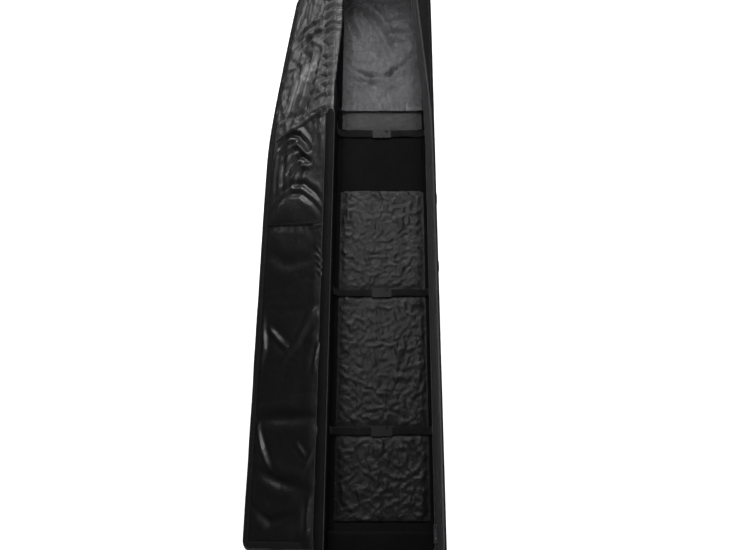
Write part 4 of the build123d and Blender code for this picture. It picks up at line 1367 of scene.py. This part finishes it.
def hinge_surface(run, y, lift):
    """From the rim (run < 0) over the hinge line and down the lid (run > 0), with a soft bend."""
    run, y, lift = np.broadcast_arrays(run, y, lift)
    reach = lid_reach(y)
    lean = np.arcsin((HINGE_Z - LID_FLOOR) / np.hypot(reach, LID_EDGE)) - np.arctan2(LID_EDGE, reach)
    bend = 0.010
    t = np.clip((run + bend) / (2 * bend), 0, 1)
    turned = lean * t * t * (3 - 2 * t)
    spread = np.minimum(np.maximum(run, -bend), bend)
    x = HINGE_X + bend - np.cos(turned * 0.5) * (spread + bend) - (run - spread) * np.cos(turned)
    z = HINGE_Z - np.sin(turned * 0.5) * (spread + bend) - (run - spread) * np.sin(turned)
    return np.stack([x - lift * np.sin(turned), y, z + lift * np.cos(turned)], -1)


STRIP_START, STRIP_END = 0.375, 1.045
STRIP_NARROW, STRIP_WIDE = 0.054, 0.115  # its reach at the roll end, and at the other


def strip_reach(y):
    """How far the gathered strip reaches down the lid from the hinge."""
    return STRIP_WIDE - (STRIP_WIDE - STRIP_NARROW) * step(0.48, 0.70, y)


def pucker_turns(y):
    """Phase of the puckers, whose spacing wanders."""
    return y / 0.043 + 0.55 * lattice(y * 13, 0 * y + 0.5, 241)


def press_flat(obj):
    """Cloth lying on the rim: it rides on the tub."""
    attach(obj, "tub")
    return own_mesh(obj)


FOLD = 0.011  # half width of the part of the gathered strip shaped in the hinge bend


def make_gathers():
    """Elastic strip in the hinge side of the roll-down mouth: rounded puckers between two drawn-in edges.

    It is cut at the hinge into a part on the rim, a part over the hinge bend and a part on the lid."""
    y = np.arange(STRIP_START, STRIP_END, 0.0028)[:, None]
    inner, outer = HINGE_X - mouth_left(y), strip_reach(y)
    run = np.hstack([
        inner + (-FOLD - inner) * np.linspace(0, 1, 16),
        np.broadcast_to(np.linspace(-FOLD, FOLD, 9)[1:], (len(y), 8)),
        FOLD + (outer - FOLD) * np.linspace(0, 1, 24)[1:],
    ])
    share = np.clip((run - inner) / (outer - inner), 0, 1)
    phase = pucker_turns(y + 0.010 * np.sin(pi * share) * lattice(y * 9, share * 2, 243))
    swell = np.abs(np.sin(pi * phase)) ** 0.8
    across = np.sin(pi * share) ** 0.45
    ends = step(0, 0.03, y - STRIP_START) * step(0, 0.03, STRIP_END - y)
    height = 0.0115 - 0.0035 * np.exp(-((run / 0.012) ** 2))
    lift = 0.0015 + ends * across * (height * swell + 0.0018 * cloud(run * 46, y * 52, 245, 3))
    lift = lift + ends * 0.0016 * np.sin(2 * pi * phase) * (1 - across)
    y_all = y + 0.0022 * np.sin(2 * pi * phase) * across
    points = hinge_surface(run, y_all, lift)
    uv = np.stack([run, y_all], -1)
    for name, first, last, flat in (
        ("gathered_strip_tub", 0, 16, 0.020), ("gathered_strip_hinge", 15, 24, 0.024),
                                    ("gathered_strip", 23, 47, 0.058)
    ):
        # the puckered cloth is painted lighter grey, as sheen
        obj = grid(name, points[:, first:last], PUCKERED_PAINTED_SHEEN, uv[:, first:last])
        weld(obj, ((0, 0.7, 3), 1))
        obj.data.materials.append(WALL_BLACK)
        places = np.zeros(len(obj.data.polygons) * 3)
        obj.data.polygons.foreach_get("center", places)
        over = places.reshape(-1, 3)[:, 0] > HINGE_X + 0.030
        obj.data.polygons.foreach_set("material_index", over.astype(int))
        thicken(obj, 0.0009, -1.0)
        settle(obj)
        if first == 0:
            press_flat(obj)
        elif first == 15:
            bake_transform(obj)
        else:
            on_lid(obj)
            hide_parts("gathered_gusset")
    for name, side in (("gathered_edge_tub", 0), ("gathered_edge_lid", 1)):
        ys = np.arange(STRIP_START + 0.004, STRIP_END - 0.004, 0.004)
        where = HINGE_X - mouth_left(ys) + 0.001 if side == 0 else strip_reach(ys) - 0.001
        path = np.stack([where, ys], 1)
        ripple = lambda r, b: 0.0016 * np.sin(2 * pi * pucker_turns(b))
        cord_edge = strip(name, hinge_surface, path, tube_profile(0, 0.0022, 0.0022), DARK_BINDING,
                          ripple, closed=True)
        settle(cord_edge)
        on_lid(cord_edge) if side else press_flat(cord_edge)


def make_hinge_strip():
    """Bound fabric that joins the lid to the rim along the padded half."""
    ys = np.arange(-LID_END, STRIP_START + 0.012, 0.006)[:, None]
    runs = np.array([-0.0125, -0.010, -0.006, -0.002, 0.002, 0.006, 0.010, 0.014, 0.018, 0.0215])[None, :]
    lift = 0.0008 + 0.0016 * np.sin(pi * (runs + 0.0125) / 0.034) + 0.0007 * cloud(runs * 60, ys * 22, 251, 3)
    y_all = np.broadcast_to(ys, lift.shape)
    points = hinge_surface(np.broadcast_to(runs, lift.shape), y_all, lift)
    uv = np.stack([np.broadcast_to(runs, lift.shape), y_all], -1)
    fabric = weld(grid("hinge_fabric", points, DARK_BINDING, uv), ((0, 0, 3), 1))
    thicken(fabric, 0.0012, -1.0)
    settle(fabric)
    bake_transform(fabric)
    ends = np.arange(-LID_END + 0.002, STRIP_START, 0.006)
    for name, run, body, radius in (("hinge_piping_lid", 0.021, "lid", 0.0021), ("hinge_piping_tub",
                                                            -0.0125, "tub", 0.0016)):
        path = np.stack([np.full(len(ends), run), ends], 1)
        piping = strip(name, hinge_surface, path, tube_profile(0, 0.0018, radius), BINDING, closed=True)
        settle(piping)
        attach(piping, body)


# ---------------------------------------------------------------- webbing


def ribbon(name, path, sides, width, thickness, material, ripple=0.0, seed=300):
    """Woven belt along 3-D points, sides being the unit way across it at each point."""
    path, sides = np.asarray(path, float), np.asarray(sides, float)
    way = np.gradient(path, axis=0)
    way /= np.linalg.norm(way, axis=1)[:, None]
    sides = sides - way * np.sum(way * sides, 1)[:, None]
    sides /= np.linalg.norm(sides, axis=1)[:, None]
    ups = np.cross(way, sides)
    edge = 0.0009
    w, t = width / 2, thickness / 2
    section = [(-w, 0), (-w + edge, t), (-w * 0.5, t), (0, t), (w * 0.5, t), (w - edge, t), (w, 0),
               (w - edge, -t), (w * 0.5, -t), (0, -t), (-w * 0.5, -t), (-w + edge, -t)]
    section = np.array(section + section[:1])
    run = np.concatenate([[0], np.cumsum(np.linalg.norm(np.diff(path, axis=0), axis=1))])
    a = np.broadcast_to(section[None, :, 0], (len(path), len(section)))
    wave = ripple * cloud(np.broadcast_to(run[:, None], a.shape) * 30, a * 40, seed, 2)
    points = path[:, None] + sides[:, None] * a[..., None] + ups[:, None] * (section[None, :,
                                                            1] + wave)[..., None]
    uv = np.stack([np.broadcast_to(along(section)[None, :], a.shape), np.broadcast_to(run[:, None],
                                                            a.shape)], -1)
    obj = grid(name, points, material, uv)
    return cap_ends(obj, len(section), len(path))


def cap_ends(obj, cols, rows):
    """Closes the two ends of a tube made as a grid, and welds its seam."""
    bm = bmesh.new()
    bm.from_mesh(obj.data)
    bm.verts.ensure_lookup_table()
    for row in (0, rows - 1):
        bm.faces.new([bm.verts[row * cols + k] for k in range(cols - 1)])
    bmesh.ops.remove_doubles(bm, verts=bm.verts, dist=1e-6)
    bmesh.ops.recalc_face_normals(bm, faces=bm.faces)
    bm.to_mesh(obj.data)
    bm.free()
    obj.data.shade_smooth()
    return obj


def box_stitch(centre, u, v, wide, high, out):
    """Stitches of a sewn box with its cross, as (places, ways, ups)."""
    c, u, v, out = (np.asarray(k, float) for k in (centre, u, v, out))
    corners = [c - u * wide - v * high, c + u * wide - v * high, c + u * wide + v * high,
               c - u * wide + v * high]
    runs = [(0, 1), (1, 2), (2, 3), (3, 0), (0, 2), (1, 3)]
    places, ways = [], []
    for a, b in runs:
        way = corners[b] - corners[a]
        count = max(2, int(np.linalg.norm(way) / 0.0034))
        for k in range(count):
            places.append(corners[a] + way * (k + 0.5) / count)
            ways.append(way)
    return places, ways, [out] * len(places)


STITCH = (0.0030, 0.0008, 0.0007)


def bar_tack(centre, u, out, wide, v=None):
    """A dense bar of stitches across a belt."""
    c, u, out = (np.asarray(k, float) for k in (centre, u, out))
    v = np.cross(out, u) if v is None else np.asarray(v, float)
    places, ways = [], []
    count = int(2 * wide / 0.0014)
    for k in range(count):
        spot = c + u * (-wide + 2 * wide * (k + 0.5) / count)
        places.append(spot)
        ways.append(v + u * (0.25 if k % 2 else -0.25))
    return places, ways, [out] * len(places)


class Stitches:
    """Collects stitches that ride on one body."""

    def __init__(self):
        self.places, self.ways, self.ups = [], [], []

    def add(self, found):
        self.places += list(found[0])
        self.ways += list(found[1])
        self.ups += list(found[2])

    def make(self, name, body, size=STITCH):
        obj = small_pieces(name, self.places, self.ways, self.ups, size, THREAD)
        on_tub(obj, "webbing", body=body)


def make_inside_straps():
    tacks = Stitches()
    for n in (1, 2, 3):
        for side, label in ((1, "right"), (-1, "left")):
            node = f"strap_{n}_{label}_web"
            low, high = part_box(node)
            y = (low[1] + high[1]) / 2
            flat_z = low[2] + 0.0007
            outer = (high[0] if side > 0 else -low[0]) - 0.0007
            inner = low[0] if side > 0 else -high[0]
            corner = 0.030
            turn = np.linspace(0, pi / 2, 9)
            path = [(outer, y, z) for z in np.linspace(high[2], flat_z + corner, 9)]
            path += [(outer - corner + corner * cos(t), y,
                      flat_z + corner - corner * sin(t)) for t in turn[1:]]
            for x in np.linspace(outer - corner, inner, 24)[1:]:
                rise = sin(pi * (outer - corner - x) / (outer - corner - inner)) ** 2
                path.append((x, y + side * 0.0012 * rise,
                             flat_z + 0.0035 * rise * (1 + 0.3 * ((n * 7) % 3 - 1))))
            path = np.array(path) * (side, 1, 1)
            belt = ribbon(f"{node}bing", path, np.tile((0, 1, 0), (len(path), 1)), 0.025, 0.0015,
                          WEBBING, 0.0006, 300 + n)
            on_tub(belt, "webbing", node)
            at = (side * (outer - 0.0009), y, high[2] - 0.012)
            tacks.add(box_stitch(at, (0, 1, 0), (0, 0, 1), 0.0095, 0.0085, (-side, 0, 0)))
    tacks.make("inside_strap_stitching", "tub")


def handle_place(name):
    """(origin, along the wall, outwards) of a handle, from its CAD webbing."""
    low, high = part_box(f"{name}_handle_web")
    if name == "side":
        return Vector((low[0], (low[1] + high[1]) / 2, high[2])), Vector((0, 1, 0)), Vector((1, 0, 0))
    if name == "wheel_end":
        return Vector((0, high[1], high[2])), Vector((1, 0, 0)), Vector((0, -1, 0))
    return Vector((0, low[1], high[2])), Vector((-1, 0, 0)), Vector((0, 1, 0))


def make_handles():
    for name, span, drop, web, grip in (("side", 0.270, 0.062, 0.030, 0.128), ("wheel_end", 0.176,
                                                            0.058, 0.025, 0.092),
                                        ("roll_end", 0.176, 0.058, 0.025, 0.092)):
        origin, u, out = handle_place(name)
        origin, u, out, up = (np.array(k) for k in (origin, u, out, Vector((0, 0, 1))))
        half, low = span / 2 - web / 2, drop - web / 2
        r = web * 0.62
        turn = np.linspace(0, pi / 2, 9)
        flat = [(-half, -z) for z in np.linspace(0, low - r, 6)]
        flat += [(-half + r - r * cos(t), -(low - r) - r * sin(t)) for t in turn[1:]]
        flat = np.array(flat)
        path2 = np.vstack([flat, resample([flat[-1], flat[-1] * (-1, 1)], 0.008)[1:-1], (flat * (-1,
                                                            1))[::-1]])
        way = np.gradient(path2, axis=0)
        way /= np.linalg.norm(way, axis=1)[:, None]
        cross2 = np.stack([-way[:, 1], way[:, 0]], 1)
        path = origin + u * path2[:, :1] + up * path2[:, 1:] + out * 0.0016
        sides = u * cross2[:, :1] + up * cross2[:, 1:]
        belt = ribbon(f"{name}_handle_webbing", path, sides, web * 0.985, 0.0026, WEBBING, 0.0004, 320)
        on_tub(belt, "webbing", f"{name}_handle_web", body=f"{name}_handle")
        sleeve = make_grip(f"{name}_handle_sleeve", origin - up * low + out * 0.0016, u, up, out, grip, web)
        on_tub(sleeve, "webbing", f"{name}_handle_grip", body=f"{name}_handle")


def make_grip(name, centre, u, up, out, length, web):
    """Padded sleeve: an oval section that swells in the middle and is pinched at its bound ends."""
    turns = np.linspace(0, 2 * pi, 33)
    rows = np.linspace(-1, 1, 41)
    rings, uv = [], []
    for row in rows:
        puff = 1.0 - 0.10 * abs(row) ** 6 - 0.12 * np.exp(-(((abs(row) - 0.88) / 0.035) ** 2))
        c, s = np.cos(turns), np.sin(turns)
        wide = (web / 2 + 0.0022) * puff * np.sign(c) * np.abs(c) ** 0.62
        deep = 0.0052 * puff * np.sign(s) * np.abs(s) ** 0.72
        wrinkle = 0.0004 * cloud(turns * 3, row * 12 + 0 * turns, 331, 3)
        flatten = np.where(deep < -0.0046, -0.0046, deep)
        points = centre + u * (row * length / 2) + np.outer(wide,
                                                            up) + np.outer(flatten + wrinkle + 0.0006, out)
        rings.append(points)
        uv.append(np.stack([turns * 0.012, np.full(33, row * length / 2)], 1))
    obj = grid(name, np.stack(rings), SLEEVE, np.stack(uv))
    return cap_ends(obj, 33, 41)


def make_patches():
    """Sewn patches over the tops of the handle and hook webbing, with their box stitches."""
    tacks = Stitches()
    belts = []
    for name, span, web in (("side", 0.270, 0.030), ("wheel_end", 0.176, 0.025), ("roll_end", 0.176, 0.025)):
        origin, u, out = handle_place(name)
        for side in (-1, 1):
            centre = origin + u * side * (span / 2 - web / 2) + Vector((0, 0, 0.0132)) + out * 0.0008
            belts.append(folded_patch(f"patch_{name}_{side}", centre, u, out, web + 0.004, 0.022, 0.0056))
            tacks.add(box_stitch(centre + out * 0.0030, u, (0, 0, 1), web / 2 - 0.002, 0.0085, out))
    for side in ("left", "right"):
        low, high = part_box(f"hook_web_{side}")
        centre = Vector(((low[0] + high[0]) / 2, HALF_LENGTH + 0.0013, high[2] + 0.009))
        belts.append(folded_patch(f"patch_hook_{side}", centre, Vector((1, 0, 0)), Vector((0, 1, 0)),
                                  0.028, 0.016, 0.0026))
        tacks.add(box_stitch(centre + Vector((0, 0.0016, 0)), (1, 0, 0), (0, 0, 1), 0.011, 0.0055, (0, 1, 0)))
    patches = merge("sewn_patch_cloth", belts)
    on_tub(patches, "webbing", "sewn_patches")
    tacks.make("patch_stitching", "tub")


def folded_patch(name, centre, u, out, wide, high, thick):
    """A small folded pad of webbing with rounded edges."""
    path = [np.array(centre + Vector((0, 0, z))) for z in np.linspace(-high / 2, high / 2, 9)]
    return ribbon(name, path, np.tile(np.array(u), (9, 1)), wide, thick, WEBBING, 0.0003, 340)


def make_hook_webs():
    for side in ("left", "right"):
        node = f"hook_web_{side}"
        low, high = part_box(node)
        x, y = (low[0] + high[0]) / 2, (low[1] + high[1]) / 2
        zs = np.linspace(high[2], low[2], 24)
        sway = 0.0010 * np.sin((zs - low[2]) * 60)
        path = np.stack([np.full(24, x), y + np.abs(sway), zs], 1)
        belt = ribbon(f"hook_webbing_{side}", path, np.tile((1, 0, 0), (24, 1)),
                      high[0] - low[0] - 0.0004, 0.0015, WEBBING,
                      0.0003, 350)
        on_tub(belt, "webbing", node, body=f"hook_strap_{side}")
        tack = Stitches()
        tack.add(bar_tack((x, y + 0.0016, low[2] + 0.012), (1, 0, 0), (0, 1, 0), 0.010))
        tack.add(bar_tack((x, y + 0.0016, low[2] + 0.016), (1, 0, 0), (0, 1, 0), 0.010))
        tack.make(f"hook_tack_{side}", f"hook_strap_{side}")


def make_daisy_chains():
    """Webbing ladder along each side wall, bulging a little between its bar tacks."""
    tacks = Stitches()
    for label, side in (("left", -1), ("right", 1)):
        node = f"daisy_chain_{label}"
        low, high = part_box(node)
        step_y, z = 0.074, (low[2] + high[2]) / 2
        ys = np.arange(low[1], high[1] + 1e-6, 0.0037)
        wave = np.abs(np.sin(pi * (ys - low[1]) / step_y)) ** 0.7
        out = HALF_WIDTH + wall_bulge(side * HALF_WIDTH, ys, z) + 0.0012 + 0.0036 * wave
        path = np.stack([side * out, ys, np.full(len(ys), z)], 1)
        belt = ribbon(f"daisy_webbing_{label}", path, np.tile((0, 0, 1), (len(ys), 1)), 0.0218, 0.0014,
                      WEBBING, 0.0003, 360)
        on_tub(belt, "webbing", node)
        for y in np.arange(low[1], high[1] + 1e-6, step_y):
            y = min(max(y, low[1] + 0.003), high[1] - 0.003)
            place = (side * (HALF_WIDTH + float(wall_bulge(side * HALF_WIDTH, np.array(y),
                                                           z)) + 0.0023), y, z)
            tacks.add(bar_tack(place, (0, 0, 1), (side, 0, 0), 0.0095))
    tacks.make("daisy_tacks", "tub")


def make_tub():
    rows = make_outer_shell() + make_rim()
    stitches = merge("tub_stitching", rows)
    on_tub(stitches, "binding")
    make_linings()
    make_floor_sheets()
    make_pad_end()
    make_hinge_strip()
    make_gathers()
    make_inside_straps()
    make_handles()
    make_patches()
    make_hook_webs()
    make_daisy_chains()


make_tub()


# ---------------------------------------------------------------- CAD pieces that keep their shape

FINISHES = {
    "shell_fabric": SHELL_CLOTH, "lid_lining": LINING_BLACK, "tub_lining": FLOOR_GREY,
            "wall_lining": WALL_BLACK,
    "foam": FOAM, "board": RAIL, "rib": RAIL, "webbing": WEBBING, "binding": BINDING, "zipper_tape": TAPE,
    "zipper_teeth": TEETH, "slider_metal": BLACK_METAL, "moulded_plastic": MOULDED, "runner_plastic": RAIL,
    "buckle_plastic": BUCKLE, "tyre": TYRE, "hub_plastic": HUB, "steel": STEEL,
}
SOFTENED = {"moulded_plastic": 0.0012, "buckle_plastic": 0.0007, "slider_metal": 0.0005,
            "runner_plastic": 0.001,
            "hub_plastic": 0.0008, "webbing": 0.0004, "steel": 0.0004, "tyre": 0.001}


def dress_cad_nodes():
    for entry in frame["record"]["subparts"]:
        node = frame["nodes"][entry["node"]]
        kind = entry["material_slot"]
        node.data.materials.clear()
        node.data.materials.append(FINISHES[kind])
        if kind in SOFTENED:
            modify(node, "BEVEL", width=SOFTENED[kind], segments=2, limit_method="ANGLE",
                   angle_limit=radians(35))


dress_cad_nodes()

# ---------------------------------------------------------------- studio


def stage_mesh(name, verts, faces, color, glow):
    """Part of the pale studio: seen by the camera, and left out of the black cloth's reflections."""
    mesh = bpy.data.meshes.new(name)
    mesh.from_pydata(verts, [], faces)
    obj = bpy.data.objects.new(name, mesh)
    bpy.context.scene.collection.objects.link(obj)
    paint = Nodes(f"{name}_paint", color, 0.9, 0.0)
    paint.shader.inputs["Emission Color"].default_value = (1, 1, 1, 1)
    paint.shader.inputs["Emission Strength"].default_value = glow
    obj.data.materials.append(paint.material)
    obj.visible_glossy = False
    obj.visible_diffuse = False
    obj.visible_shadow = False
    return obj


def make_studio():
    floor = stage_mesh("floor", [(-9, -9, 0), (9, -9, 0), (9, 9, 0), (-9, 9, 0)], [(0, 1, 2, 3)], (0.85,
                                                            0.85, 0.85), 0.5)
    floor.location.z = -0.0012
    corners = [(8.5 * cos(n * pi / 16), 8.5 * sin(n * pi / 16)) for n in range(32)]
    verts = [(x, y, z) for z in (-0.1, 9.0) for x, y in corners]
    walls = [(n, (n + 1) % 32, (n + 1) % 32 + 32, n + 32) for n in range(32)]
    stage_mesh("backdrop", verts, walls + [tuple(range(32, 64))], (0.3, 0.3, 0.3), 0.80)

    world = bpy.data.worlds.new("studio")
    world.use_nodes = True
    tree = world.node_tree
    place = tree.nodes.new("ShaderNodeTexCoord")
    parts = tree.nodes.new("ShaderNodeSeparateXYZ")
    ramp = tree.nodes.new("ShaderNodeValToRGB")
    tree.links.new(place.outputs["Generated"], parts.inputs[0])
    tree.links.new(parts.outputs["Z"], ramp.inputs["Fac"])
    for element, (position, value) in zip(ramp.color_ramp.elements, ((0.1, 0.07), (0.85, 0.42))):
        element.position, element.color = position, (value, value, value, 1)
    tree.links.new(ramp.outputs["Color"], tree.nodes["Background"].inputs["Color"])
    bpy.context.scene.world = world
    bpy.context.scene.view_settings.view_transform = "Standard"

    for name, place, aim, size, power in (
        ("key", (0.0, 2.9, 3.0), (0, 0.3, 0), 1.3, 110),
        ("top", (-0.9, 0.9, 3.5), (0, 0, 0), 1.6, 62),
        ("side", (2.1, 0.4, 2.0), (0, 0.2, 0), 0.7, 18),
        ("left", (-2.7, 2.9, 0.75), (-0.2, 0.7, 0.1), 1.2, 26),
        ("right_fill", (3.2, -0.6, 0.5), (0.1, 0, 0.1), 0.9, 105),
        ("near_fill", (0.5, -3.8, 0.7), (0, -1, 0.1), 1.2, 80),
        ("far_fill", (0.6, 4.2, 0.8), (0, 1, 0.1), 1.0, 30),
    ):
        light = bpy.data.lights.new(name, "AREA")
        light.shape, light.size, light.energy = "SQUARE", size, power
        lamp = bpy.data.objects.new(name, light)
        lamp.location = place
        lamp.rotation_euler = (Vector(aim) - Vector(place)).to_track_quat("-Z", "Y").to_euler()
        bpy.context.scene.collection.objects.link(lamp)


def make_camera():
    camera = bpy.data.cameras.new("camera")
    camera.sensor_width = 36.0
    camera.lens = 34.43
    camera.shift_x = -0.0219
    obj = bpy.data.objects.new("camera", camera)
    obj.location = (0.0, -0.972, RIM + 2.064)
    obj.rotation_euler = (radians(20), 0, 0)
    bpy.context.scene.collection.objects.link(obj)
    bpy.context.scene.camera = obj


make_studio()
make_camera()
